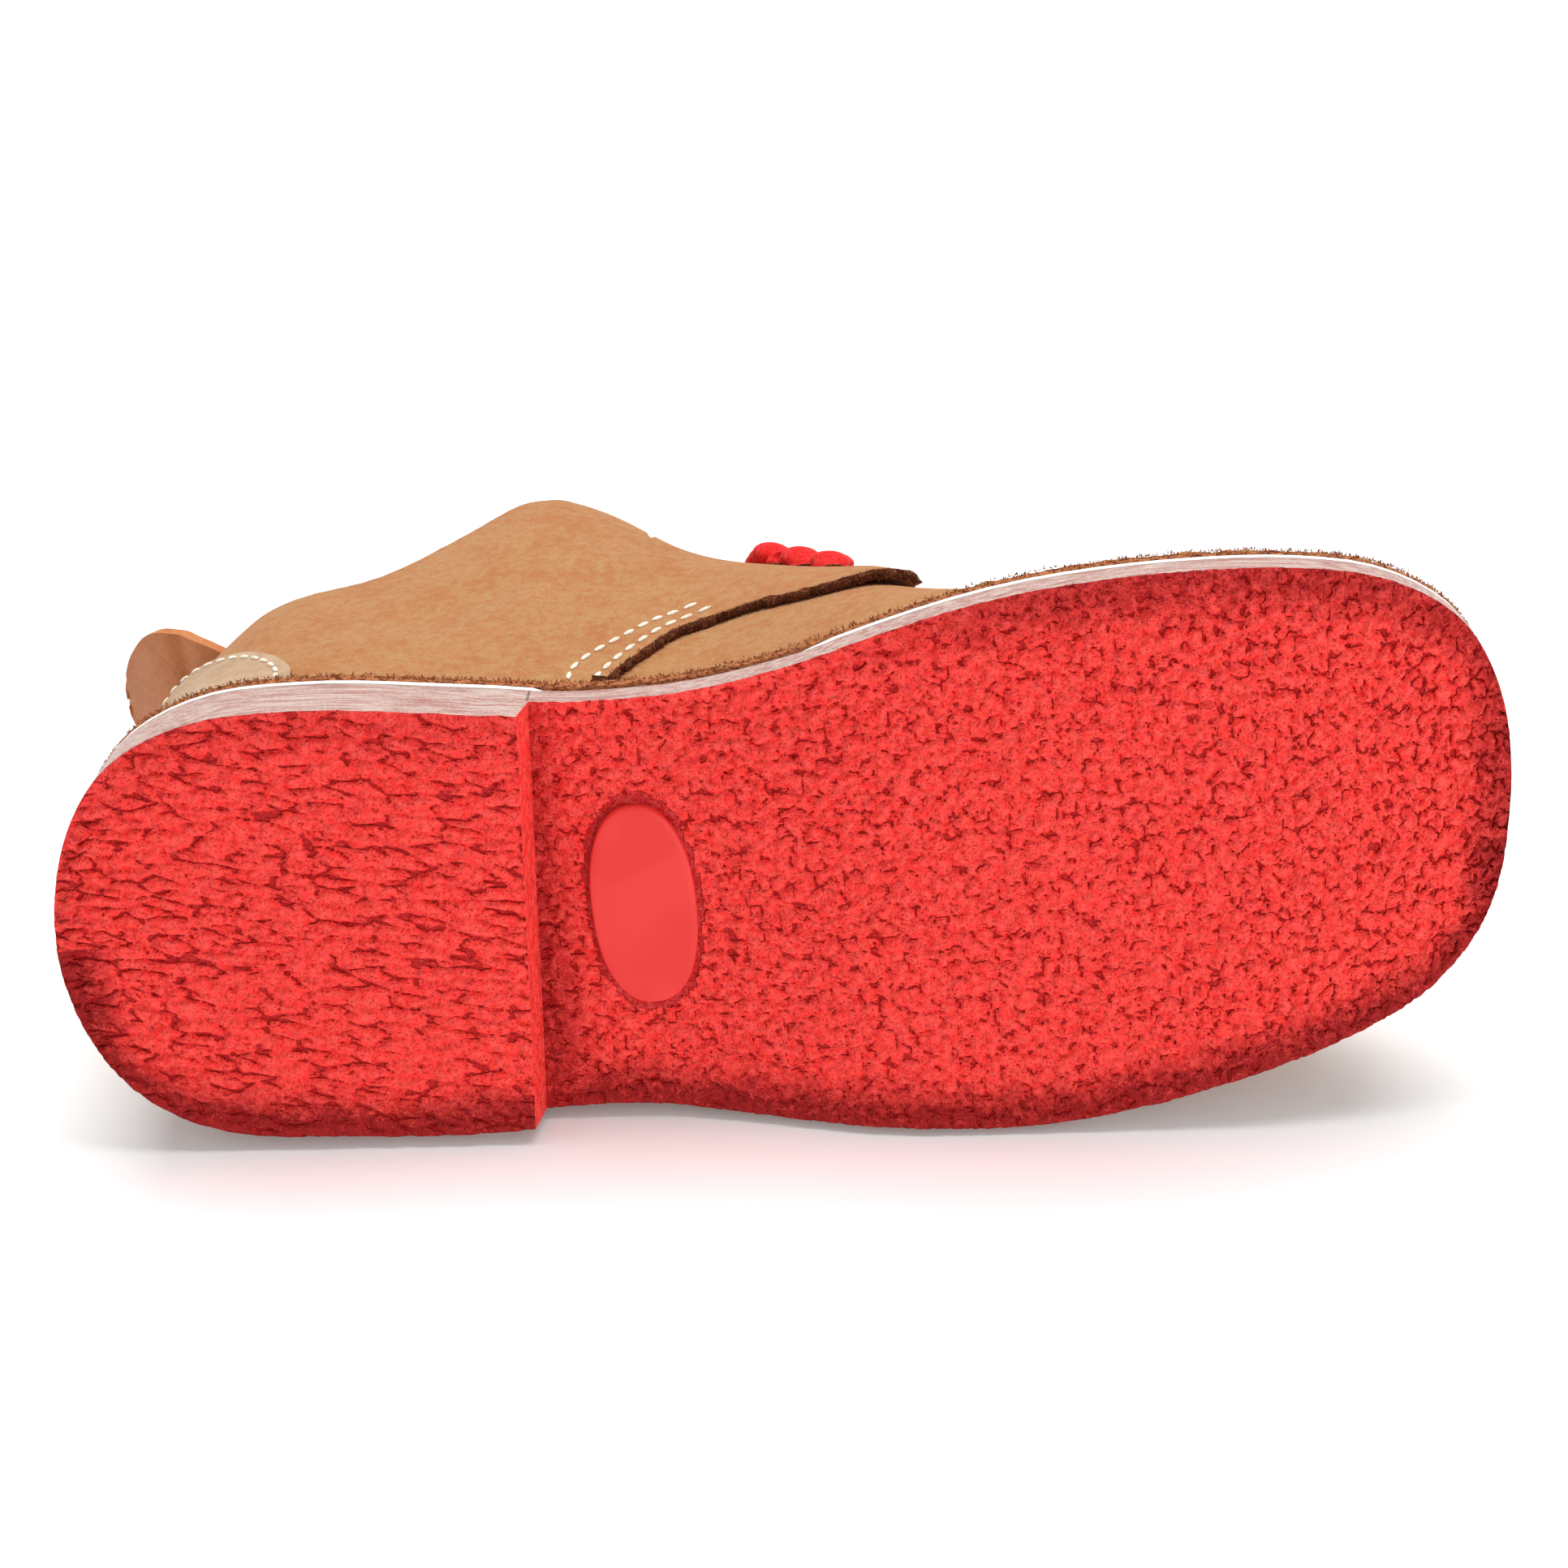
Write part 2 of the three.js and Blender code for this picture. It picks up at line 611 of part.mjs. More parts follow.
// Heel counter: a half-moon patch on the outside of the quarters.
function heelCounter() {
  const on = QUARTER_SUEDE + GAP;
  const shell = lastForm(on + PATCH_THICKNESS, 0, 0).subtract(lastForm(on, 0, THROUGH_THE_FLOOR));
  const floor = featherHeight(0) + SUEDE + GAP + FLARE_RADIUS;
  const arc = Array.from({ length: PATCH_STEPS + 1 }, (unused, index) => {
    const angle = Math.PI / 2 * index / PATCH_STEPS;
    return { x: PATCH_LENGTH * Math.cos(angle), z: floor + PATCH_HEIGHT * Math.sin(angle) };
  });
  return shell.intersect(sidePrism([{ x: -FAR, z: floor }, ...arc, { x: -FAR, z: floor + PATCH_HEIGHT }]));
}

// Pull tab: a strap folded over behind the collar, with its fold rounded off in plan.
function tabStrap(thickness, stopsShort) {
  const middle = new THREE.CatmullRomCurve3(
    TAB_LINE.map((row) => new THREE.Vector3(-row.behind * TAB_REACH, 0, row.height * COLLAR_PEAK)),
  );
  const end = Math.max(1 - stopsShort / middle.getLength(), 0);
  const above = [];
  const below = [];
  for (let step = 0; step <= TAB_STEPS; step += 1) {
    const share = end * step / TAB_STEPS;
    const tangent = middle.getTangentAt(share);
    const offset = new THREE.Vector3(tangent.z, 0, -tangent.x).multiplyScalar(thickness / 2);
    above.push(middle.getPointAt(share).add(offset));
    below.unshift(middle.getPointAt(share).sub(offset));
  }
  return sidePrism([...above, ...below]);
}

function pullTab() {
  const round = Array.from({ length: TAB_ROUND_STEPS + 1 }, (unused, index) => {
    const angle = Math.PI / 2 + Math.PI * index / TAB_ROUND_STEPS;
    return {
      x: TAB_ROUND * Math.cos(angle),
      y: TAB_SIDE + TAB_WIDTH / 2 * Math.sin(angle),
    };
  });
  const plan = planPrism([
    { x: TAB_SEAT, y: TAB_SIDE + TAB_WIDTH / 2 },
    ...round,
    { x: TAB_SEAT, y: TAB_SIDE - TAB_WIDTH / 2 },
  ], 0, COLLAR_PEAK);
  return tabStrap(2 * TAB_LEATHER + TAB_SLIT, 0)
    .subtract(tabStrap(TAB_SLIT, TAB_FOLD))
    .intersect(plan)
    .subtract(lastForm(QUARTER_SUEDE + GAP, 0, 0));
}

// Lace: bars from eyelet to eyelet, over the facings and the slit between them.
const LACE_SHARES = [0, 0.25, 0.5, 0.75, 1];
function laceBar(row) {
  const x = LACE_FIRST_X - row * EYELET_PITCH;
  const acrossInstep = (place) => {
    const section = lastSection(place, LACE_STAND_OFF, false);
    const ups = LACE_SHARES.map((share) => EYELET_UP + (1 - EYELET_UP) * share);
    const medial = ups.map((up) => section.point('medial', up, 0));
    const lateral = ups.map((up) => section.point('lateral', up, 0));
    return new THREE.CatmullRomCurve3([...medial, ...lateral.reverse().slice(1)]);
  };
  const route = acrossInstep(x);
  const ahead = acrossInstep(x + LACE_BREADTH / 2);
  const rings = Array.from({ length: LACE_STEPS + 1 }, (unused, index) => {
    const share = index / LACE_STEPS;
    const middle = route.getPoint(share);
    const slope = ahead.getPoint(share).sub(middle).normalize();
    const outward = new THREE.Vector3().crossVectors(slope, route.getTangent(share)).normalize();
    return Array.from({ length: LACE_SIDES }, (alsoUnused, side) => {
      const angle = 2 * Math.PI * side / LACE_SIDES;
      return middle.clone()
        .addScaledVector(slope, LACE_BREADTH / 2 * Math.cos(angle))
        .addScaledVector(outward, LACE_THICKNESS / 2 * Math.sin(angle));
    });
  });
  return loft(rings, true, true);
}

function meshFrom(name, body, colour, roughness) {
  const mesh = body.getMesh();
  const geometry = new THREE.BufferGeometry();
  geometry.setAttribute('position', new THREE.Float32BufferAttribute(mesh.vertProperties, 3));
  geometry.setIndex(new THREE.Uint32BufferAttribute(mesh.triVerts, 1));
  const material = new THREE.MeshStandardMaterial({ color: colour, roughness, metalness: 0 });
  const result = new THREE.Mesh(geometry, material);
  result.name = name;
  return result;
}

const shoe = new THREE.Group();
shoe.add(meshFrom('outsole', outsole(), 0xe6352f, 0.6));
shoe.add(meshFrom('midsole', midsole(), 0xf5f2ea, 0.6));
shoe.add(meshFrom('runner', runner(), 0x8a5a3a, 0.95));
shoe.add(meshFrom('insole', insole(), 0xd8c4a4, 0.9));
shoe.add(meshFrom('upper', upper(), 0xc48f5c, 0.95));
shoe.add(meshFrom('tongue', tongue(), 0xc48f5c, 0.95));
shoe.add(meshFrom('heel_counter', heelCounter(), 0xcfae8c, 0.9));
shoe.add(meshFrom('pull_tab', pullTab(), 0xb8754f, 0.6));
for (let row = 0; row < LACE_ROWS; row += 1) {
  shoe.add(meshFrom(`lace_bar_${row + 1}`, laceBar(row), 0xe03038, 0.7));
}

// The side that the shoe lies on is the face of its hull that carries its centre of mass.
function restingFace(meshes) {
  const points = [];
  const centre = new THREE.Vector3();
  let volume = 0;
  meshes.forEach((mesh) => {
    const position = mesh.geometry.getAttribute('position');
    const index = mesh.geometry.getIndex();
    const corners = [new THREE.Vector3(), new THREE.Vector3(), new THREE.Vector3()];
    for (let i = 0; i < position.count; i += 1) {
      points.push(new THREE.Vector3().fromBufferAttribute(position, i));
    }
    for (let i = 0; i < index.count; i += 3) {
      corners.forEach((corner, k) => corner.fromBufferAttribute(position, index.getX(i + k)));
      const part = corners[0].dot(corners[1].clone().cross(corners[2])) / 6;
      volume += part;
      corners.forEach((corner) => centre.addScaledVector(corner, part / 4));
    }
  });
  centre.divideScalar(volume);
  const ray = new THREE.Ray(centre, new THREE.Vector3(0, 1, 0));
  const faces = new ConvexHull().setFromPoints(points).faces;
  return faces.find((face) => {
    const corners = [];
    let edge = face.edge;
    do {
      corners.push(edge.head().point);
      edge = edge.next;
    } while (edge !== face.edge);
    for (let i = 1; i < corners.length - 1; i += 1) {
      if (face.normal.y > 0
        && ray.intersectTriangle(corners[0], corners[i], corners[i + 1], false, new THREE.Vector3())) {
        return true;
      }
    }
    return false;
  });
}

const face = restingFace(shoe.children);
const upward = face.normal.clone().negate();
const forward = new THREE.Vector3(1, 0, 0);
forward.addScaledVector(upward, -forward.dot(upward)).normalize();
const across = new THREE.Vector3().crossVectors(upward, forward);
const turn = new THREE.Matrix4().makeBasis(forward, across, upward).transpose();
shoe.quaternion.setFromRotationMatrix(turn);

// The origin is the middle of the box's underside.
const lying = new THREE.Group();
lying.add(shoe);
const box = new THREE.Box3().setFromObject(lying, true);
shoe.position.set(-(box.min.x + box.max.x) / 2, -(box.min.y + box.max.y) / 2, -box.min.z);

export default lying;
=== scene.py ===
import json
import math

import bmesh
import bpy
import numpy as np
from mathutils import Matrix, Vector, noise


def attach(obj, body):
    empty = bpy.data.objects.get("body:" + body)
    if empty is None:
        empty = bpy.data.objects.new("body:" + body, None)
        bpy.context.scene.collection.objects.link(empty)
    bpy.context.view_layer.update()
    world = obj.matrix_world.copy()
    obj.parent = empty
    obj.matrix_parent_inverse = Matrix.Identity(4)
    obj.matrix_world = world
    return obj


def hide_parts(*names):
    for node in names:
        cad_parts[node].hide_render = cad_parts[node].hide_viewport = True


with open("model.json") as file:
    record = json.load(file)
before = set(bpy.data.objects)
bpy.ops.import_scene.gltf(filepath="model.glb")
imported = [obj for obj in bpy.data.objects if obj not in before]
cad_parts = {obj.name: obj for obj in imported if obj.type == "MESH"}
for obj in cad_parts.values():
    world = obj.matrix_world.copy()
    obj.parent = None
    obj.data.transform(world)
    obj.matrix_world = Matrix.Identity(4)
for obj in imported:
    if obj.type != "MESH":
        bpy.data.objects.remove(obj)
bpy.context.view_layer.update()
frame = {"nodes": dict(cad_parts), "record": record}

# --- The shoe's own standing frame -------------------------------------------------------------------
# The shoe lies on its outer side, but every piece is cut and sewn as if it stood: +X to the toe,
# +Z up from the tread, -Y the inner side, in millimetres from the back of the heel.
MM = 0.001
HEEL_SPOT_X = 34
spots = {mount["name"]: mount for mount in frame["record"]["mounts"]}
heel_spot = Vector(spots["heel_tread"]["pos_m"])
toe_way = (Vector(spots["forefoot_tread"]["pos_m"]) - heel_spot).normalized()
up_way = -Vector(spots["heel_tread"]["axis"]).normalized()
side_way = up_way.cross(toe_way)
lying = Matrix((toe_way, side_way, up_way)).transposed().to_4x4()
lying.translation = heel_spot - toe_way * HEEL_SPOT_X * MM
lying = lying @ Matrix.Scale(MM, 4)
standing = lying.inverted()


# --- Camera ------------------------------------------------------------------------------------------
# The lens looks at the sole from a little above the inner edge, and keeps the photograph's angle to
# the shoe. Its place and its axes are given in the standing frame.
CAMERA_PLACE = Vector((123.7, -158.7, -302.35))
CAMERA_RIGHT = Vector((0.99658, 0.08200, 0.01063))
CAMERA_UP = Vector((0.06992, -0.90437, 0.42098))
FOCAL_PIXELS = 2900
PICTURE_PIXELS = 1932
SENSOR = 36
camera_data = bpy.data.cameras.new("camera")
camera_data.sensor_width = SENSOR
camera_data.lens = FOCAL_PIXELS / PICTURE_PIXELS * SENSOR
camera_data.clip_start = 0.01
camera = bpy.data.objects.new("camera", camera_data)
bpy.context.scene.collection.objects.link(camera)
bpy.context.scene.camera = camera
camera_back = CAMERA_RIGHT.cross(CAMERA_UP)
aim = Matrix((CAMERA_RIGHT, CAMERA_UP, camera_back)).transposed()
turn = Matrix((toe_way, side_way, up_way)).transposed()
camera.matrix_world = Matrix.Translation(lying @ CAMERA_PLACE) @ (turn @ aim).to_4x4()


# --- Outsole -----------------------------------------------------------------------------------------
# A moulded rubber plate with a heel block. Its tread is crepe: flat-topped crumbs with sunken,
# smoother cracks between them. Its side is trimmed, pinkish grey and finely scored lengthwise.
def rest_select():
    if bpy.context.object and bpy.context.object.mode != "OBJECT":
        bpy.ops.object.mode_set(mode="OBJECT")
    bpy.ops.object.select_all(action="DESELECT")


def sheet_of(name, points):
    """A grid primitive laid along rows of points, given in the standing frame."""
    rows, columns = points.shape[:2]
    rest_select()
    bpy.ops.mesh.primitive_grid_add(x_subdivisions=columns - 1, y_subdivisions=rows - 1, size=1)
    piece = bpy.context.object
    piece.name = piece.data.name = name
    piece.data.vertices.foreach_set("co", points.astype(np.float32).ravel())
    piece.data.update()
    return piece


def close_up(piece, distance):
    """Joins the points that lie on one another along its seams, and turns its faces outwards."""
    rest_select()
    bpy.context.view_layer.objects.active = piece
    piece.select_set(True)
    bpy.ops.object.mode_set(mode="EDIT")
    bpy.ops.mesh.select_all(action="SELECT")
    bpy.ops.mesh.remove_doubles(threshold=distance)
    bpy.ops.mesh.select_all(action="SELECT")
    bpy.ops.mesh.normals_make_consistent(inside=False)
    bpy.ops.object.mode_set(mode="OBJECT")


def smooth(piece):
    piece.data.polygons.foreach_set("use_smooth", np.ones(len(piece.data.polygons), bool))


def modifier(piece, kind, **settings):
    """Adds a modifier, sets it and applies it."""
    rest_select()
    bpy.context.view_layer.objects.active = piece
    piece.select_set(True)
    added = piece.modifiers.new(kind.lower(), kind)
    for key, value in settings.items():
        setattr(added, key, value)
    bpy.ops.object.modifier_apply(modifier=added.name)


def settle(piece, *nodes, slot=None):
    """Lays a finished piece into the row frame, on the shoe, in place of its CAD nodes."""
    piece.data.transform(lying)
    piece.data.update()
    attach(piece, "root")
    if nodes:
        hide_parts(*nodes)


def smoothstep(low, high, value):
    share = np.clip((value - low) / (high - low), 0, 1)
    return share * share * (3 - 2 * share)


runner_points = np.array([standing @ v.co for v in frame["nodes"]["runner"].data.vertices])
runner_points = np.unique(np.round(runner_points[:, :2], 3), axis=0)
stations = np.unique(np.round(runner_points[:, 0], 2))
inner_edge = np.array([runner_points[abs(runner_points[:, 0] - x) < 0.02, 1].min() for x in stations])
outer_edge = np.array([runner_points[abs(runner_points[:, 0] - x) < 0.02, 1].max() for x in stations])
station_share = np.arccos(1 - 2 * (stations - stations[0]) / (stations[-1] - stations[0])) / math.pi
OUTLINE_POINTS = 900
fine = np.linspace(0, 1, OUTLINE_POINTS // 2, endpoint=False)


def bow(t, start, leaves, end, meets):
    """A smooth curve from one value to another, with the slopes at which it leaves and meets them."""
    return ((2 * t**3 - 3 * t**2 + 1) * start + (t**3 - 2 * t**2 + t) * leaves
            + (3 * t**2 - 2 * t**3) * end + (t**3 - t**2) * meets)


def through(shares, values, at):
    """A smooth line through values, read at other shares of its length."""
    slope = np.gradient(values, shares)
    index = np.clip(np.searchsorted(shares, at) - 1, 0, len(shares) - 2)
    width = shares[index + 1] - shares[index]
    t = (at - shares[index]) / width
    return bow(t, values[index], slope[index] * width, values[index + 1], slope[index + 1] * width)


def unit(ways):
    return ways / np.linalg.norm(ways, axis=-1)[..., None]


def ends_x(share):
    return stations[0] + (stations[-1] - stations[0]) * (1 - np.cos(math.pi * share)) / 2


outline = np.concatenate([
    np.stack([ends_x(fine), through(station_share, inner_edge, fine)], axis=1),
    np.stack([ends_x(1 - fine), through(station_share, outer_edge, 1 - fine)], axis=1),
])
outline_normal = np.roll(outline, -1, axis=0) - np.roll(outline, 1, axis=0)
outline_normal = np.stack([outline_normal[:, 1], -outline_normal[:, 0]], axis=1)
outline_normal = unit(outline_normal)


def outline_in(margin):
    """The sole's outline moved inwards: its inner and its outer branch, each from heel to toe."""
    moved = outline - outline_normal * margin
    first, last = moved[:, 0].argmin(), moved[:, 0].argmax()
    moved = np.roll(moved, -first, axis=0)
    last = (last - first) % len(moved)
    inner = moved[: last + 1]
    outer = np.concatenate([moved[last:], moved[:1]])[::-1]
    return inner, outer


def edges_at(margin, x):
    inner, outer = outline_in(margin)
    return np.interp(x, inner[:, 0], inner[:, 1]), np.interp(x, outer[:, 0], outer[:, 1])


SOLE_LENGTH = stations[-1] - stations[0]
OUTSOLE_THICKNESS = 4.2
HEEL_BLOCK_DROP = 5.8
BREAST_X = 69.5
BREAST_SLANT = 1.2
BREAST_SKEW = 6 / 70.3
BREAST_REACH = 26
TOE_SPRING = 5.5
HEEL_ROWS = 200
BREAST_ROWS = 12
PLATE_ROWS = 390
TREAD_COLUMNS = 215
WALL_ROWS = 8


def tread_height(x):
    along = x / SOLE_LENGTH
    arch = HEEL_BLOCK_DROP * (1 - smoothstep(BREAST_X / SOLE_LENGTH + 0.06, 0.60, along))
    return arch + TOE_SPRING * np.clip((along - 0.8) / 0.2, 0, None) ** 1.7


def soft(place, size, seed, octaves=2):
    """Soft unevenness of about -1 to 1, with swells of a size in millimetres."""
    total = np.zeros(place.shape[:-1])
    for octave in range(octaves):
        lean = np.random.default_rng(seed * 101 + octave).uniform(0, 2 * math.pi, (64, 64))
        spot = place / size * 2**octave + 31.7
        cell = np.floor(spot).astype(int)
        part = spot - cell
        blend = part**3 * (part * (part * 6 - 15) + 10)

        def swell(i, j):
            way = lean[(cell[..., 0] + i) % 64, (cell[..., 1] + j) % 64]
            return np.cos(way) * (part[..., 0] - i) + np.sin(way) * (part[..., 1] - j)

        near = swell(0, 0) * (1 - blend[..., 0]) + swell(1, 0) * blend[..., 0]
        far = swell(0, 1) * (1 - blend[..., 0]) + swell(1, 1) * blend[..., 0]
        total += 1.5 * 0.5**octave * (near * (1 - blend[..., 1]) + far * blend[..., 1])
    return total


def crumb_gap(place, size, seed):
    """How far a place lies from the border between two crumbs, in millimetres."""
    jitter = np.random.default_rng(seed).uniform(0.05, 0.95, (64, 64, 2))
    spot = place / size + 17.3
    cell = np.floor(spot).astype(int)
    first = np.full(place.shape[:-1], 9.0)
    second = first.copy()
    for i in (-1, 0, 1):
        for j in (-1, 0, 1):
            here = cell + (i, j)
            middle = here + jitter[here[..., 0] % 64, here[..., 1] % 64]
            reach = np.linalg.norm(spot - middle, axis=-1)
            second = np.minimum(second, np.maximum(first, reach))
            first = np.minimum(first, reach)
    return (second - first) * size


# On the heel the crumbs lie lengthwise and fall a little towards the toe; on the forefoot they are
# blocky, with short broken cracks.
CRUMB_STRETCH = 2.4
CRUMB_LEAN = -0.2
CRUMB = 2.5
SHADE_REACH = 10
OVAL_CENTRE = (BREAST_X + 17, 1.5)
OVAL_SIZE = (15.6, 32.5)
OVAL_POWER = 2.3
OVAL_RISE = 0.9


def crepe_relief(x, y, on_heel):
    """At each place of the tread: how deep it is sunk, how far the next crack is, and how much painted shade
    it gets near its rims and beside the heel's breast.
    """
    if on_heel:
        place = np.stack([x / CRUMB_STRETCH, (y + CRUMB_LEAN * x) * 1.05], axis=-1)
    else:
        place = np.stack([x * 1.1, y * 0.95], axis=-1) + 70
    bend = np.stack([soft(place, 2.2, 1, 3), soft(place, 2.2, 2, 3)], axis=-1) * (0.45 if on_heel else 0.75)
    gap = crumb_gap(place + bend, CRUMB, 3)
    gap_small = crumb_gap(place + bend * 0.7 + 9, CRUMB / 2, 4)
    whole = smoothstep(0.1, -0.4, soft(place, 2.6, 5, 2))
    whole_small = smoothstep(0.45, -0.05, soft(place, 2.2, 6, 2))
    crack = np.minimum(gap + 0.9 * whole, gap_small * 1.5 + 0.12 + 0.9 * whole_small)
    inner_y, outer_y = edges_at(0, x)
    rim = np.minimum(y - inner_y, outer_y - y)
    rim = np.minimum(rim, np.minimum(x - stations[0], stations[-1] - x))
    fade = 0.35 + 0.65 * smoothstep(0.2, 2.2, rim + 0.7 * soft(place, 1.6, 12, 2))
    swell = 0.5 * (1 - smoothstep(0, 1.4, gap)) + 0.26 * (1 - smoothstep(0, 0.8, gap_small))
    sunk = (swell + 0.25 * (1 - smoothstep(0.1, 0.5, crack))) * fade + 0.05 * (1 - soft(place, 0.9, 10, 3))
    # painted shade: darker red in a band along the tread's rim, strong on the outer side and weak on the
    # inner side, and across the waist just past the heel's breast, where the edges turn from the light and
    # the breast shades the waist
    painted_shade = 1 - smoothstep(0, SHADE_REACH, rim + 1.5 * soft(place, 5, 13, 3))
    if on_heel:
        return sunk, crack, painted_shade * np.where(y < 0, 0.3, 1.6)
    painted_shade = painted_shade * np.where(y < 0, smoothstep(110, 150, x), 1.5)
    painted_shade = np.maximum(painted_shade, 1.1 * (1 - smoothstep(0, SHADE_REACH, x - BREAST_X)))
    oval = (np.abs((x - OVAL_CENTRE[0]) / (OVAL_SIZE[0] / 2)) ** OVAL_POWER
            + np.abs((y - OVAL_CENTRE[1]) / (OVAL_SIZE[1] / 2)) ** OVAL_POWER) ** (1 / OVAL_POWER)
    moat = oval < 1.12 + 0.04 * soft(place, 2.0, 9, 2)
    return np.where(moat, 0.5, sunk), np.where(moat, 0.0, crack), painted_shade


def tread_ring(x, level):
    """One turn of the sole's skin across the shoe: up one side, over the tread and down the other."""
    near = max(0.0, 1 - abs(x - BREAST_X) / BREAST_REACH)
    skew = BREAST_SKEW * near * near * (3 - 2 * near)
    ends = []
    for branch in (0, 1):
        y = 0.0
        for _ in range(12):
            y = float(edges_at(0, x - skew * y)[branch])
        ends.append(y)
    across = np.linspace(ends[0], ends[1], TREAD_COLUMNS + 1)
    xs = x - skew * across
    bottom = np.full_like(xs, level) if level is not None else tread_height(xs)
    top = tread_height(xs) + OUTSOLE_THICKNESS
    share = np.linspace(0, 1, WALL_ROWS + 1)[1:]

    def wall(end):
        rise = bottom[end] + (top[end] - bottom[end]) * share
        return np.stack([np.full(WALL_ROWS, xs[end]), np.full(WALL_ROWS, across[end]), rise], axis=1)

    inner, outer = wall(0), wall(-1)
    return np.concatenate([inner[::-1], np.stack([xs, across, bottom], axis=1), outer, inner[-1:]])


def rubber_piece(name, rings, plain_rows, on_heel):
    """A closed piece of the outsole with its crepe sunk into the tread."""
    tread = slice(WALL_ROWS, WALL_ROWS + TREAD_COLUMNS + 1)
    sunk, crack, painted_shade = crepe_relief(rings[:, tread, 0], rings[:, tread, 1], on_heel)
    sunk[plain_rows], crack[plain_rows], painted_shade[plain_rows] = 0.04, 2, 0
    rings[:, tread, 2] += sunk
    piece = sheet_of(name, rings)
    # the distance to the next crack and the painted shade for the rims and the breast go to the finish as
    # attributes
    for attribute, values in (("crack", crack), ("painted_shade", painted_shade)):
        depth = np.zeros(rings.shape[:2], np.float32)
        depth[:, tread] = values
        piece.data.attributes.new(attribute, "FLOAT", "POINT").data.foreach_set("value", depth.ravel())
    turn = np.tile(np.arange(rings.shape[1] - 1), len(rings) - 1)
    on_wall = (turn < WALL_ROWS) | (turn >= WALL_ROWS + TREAD_COLUMNS)
    piece.data.polygons.foreach_set("material_index", on_wall.astype(np.int32))
    close_up(piece, 0.004)
    smooth(piece)
    return piece


RING_TURN = 1.54
heel_share = (1 - np.cos(np.linspace(0, RING_TURN, HEEL_ROWS))) / (1 - math.cos(RING_TURN))
heel_x = stations[0] + (BREAST_X - stations[0]) * heel_share
heel_rings = [tread_ring(x, 0.0) for x in heel_x]
for step in range(1, BREAST_ROWS + 1):
    rise = step / BREAST_ROWS
    heel_rings.append(tread_ring(BREAST_X + BREAST_SLANT * rise, HEEL_BLOCK_DROP * rise))
heel_rings.append(tread_ring(BREAST_X + BREAST_SLANT, HEEL_BLOCK_DROP + OUTSOLE_THICKNESS))
breast_rows = np.arange(len(heel_rings)) >= HEEL_ROWS
heel_block = rubber_piece("outsole_heel", np.array(heel_rings), breast_rows, True)
plate_start = BREAST_X + BREAST_SLANT - 0.4
plate_share = np.sin(np.linspace(0, RING_TURN, PLATE_ROWS)) / math.sin(RING_TURN)
plate_rings = [tread_ring(plate_start, HEEL_BLOCK_DROP + OUTSOLE_THICKNESS)]
plate_rings += [tread_ring(plate_start + (stations[-1] - plate_start) * share, None) for share in plate_share]
first_row = np.arange(len(plate_rings)) < 1
plate = rubber_piece("outsole_plate", np.array(plate_rings), first_row, False)


class Signal:
    """What a socket of a finish gives, so that masks and heights are written as sums."""

    def __init__(self, tree, socket):
        self.tree, self.socket = tree, socket

    def maths(self, operation, *values):
        node = self.tree.nodes.new("ShaderNodeMath")
        node.operation = operation
        for entry, value in zip(node.inputs, values):
            join(self.tree, value, entry)
        return Signal(self.tree, node.outputs[0])

    def __add__(self, other):
        return self.maths("ADD", self, other)

    def __sub__(self, other):
        return self.maths("SUBTRACT", self, other)

    def __rsub__(self, other):
        return self.maths("SUBTRACT", other, self)

    def __mul__(self, other):
        return self.maths("MULTIPLY", self, other)

    __radd__ = __add__
    __rmul__ = __mul__


def join(tree, value, entry):
    if isinstance(value, Signal):
        tree.links.new(value.socket, entry)
    else:
        entry.default_value = value


class Finish:
    """A material's nodes round one shader."""

    def __init__(self, name, **constants):
        self.material = bpy.data.materials.new(name)
        self.material.use_nodes = True
        self.tree = self.material.node_tree
        self.shader = self.tree.nodes["Principled BSDF"]
        self.set(**constants)

    def set(self, **values):
        for name, value in values.items():
            join(self.tree, value, self.shader.inputs[name.replace("_", " ")])

    def node(self, kind, settings=None, output=0, **values):
        made = self.tree.nodes.new(kind)
        for name, value in (settings or {}).items():
            setattr(made, name, value)
        for name, value in values.items():
            join(self.tree, value, made.inputs[name.replace("_", " ")])
        return Signal(self.tree, made.outputs[output])

    def place(self):
        return self.node("ShaderNodeTexCoord", output=3)

    def noise(self, size_mm, detail=3.0, rough=0.55, stretch=None, seed=0.0):
        """Soft noise with features of a size, on the piece's own place."""
        vector = self.place()
        if stretch or seed:
            vector = self.node("ShaderNodeMapping", Vector=vector, Location=(seed, seed, seed),
                               Scale=stretch or (1, 1, 1))
        return self.node("ShaderNodeTexNoise", Vector=vector, Scale=1 / (size_mm * MM),
                         Detail=detail, Roughness=rough)

    def ramp(self, signal, low, high):
        return self.node("ShaderNodeMapRange", {"clamp": True, "interpolation_type": "SMOOTHSTEP"},
                         Value=signal, From_Min=low, From_Max=high)

    def mix(self, factor, first, second):
        made = self.tree.nodes.new("ShaderNodeMix")
        made.data_type = "RGBA"
        join(self.tree, factor, made.inputs[0])
        join(self.tree, colour(first), made.inputs[6])
        join(self.tree, colour(second), made.inputs[7])
        return Signal(self.tree, made.outputs[2])

    def tones(self, signal, low, high, first, second):
        """Colours the piece from one tone to another, by a signal."""
        self.set(Base_Color=self.mix(self.ramp(signal, low, high), first, second))

    def bump(self, height, distance_mm, strength=1.0):
        bumped = self.node("ShaderNodeBump", Height=height, Distance=distance_mm * MM, Strength=strength)
        self.set(Normal=bumped)


def colour(value):
    """A colour written as on a paint card, in parts of 255, as the light that it gives back."""
    if isinstance(value, Signal):
        return value
    parts = [part / 255 for part in value]
    return tuple(p / 12.92 if p <= 0.04045 else ((p + 0.055) / 1.055) ** 2.4 for p in parts) + (1.0,)


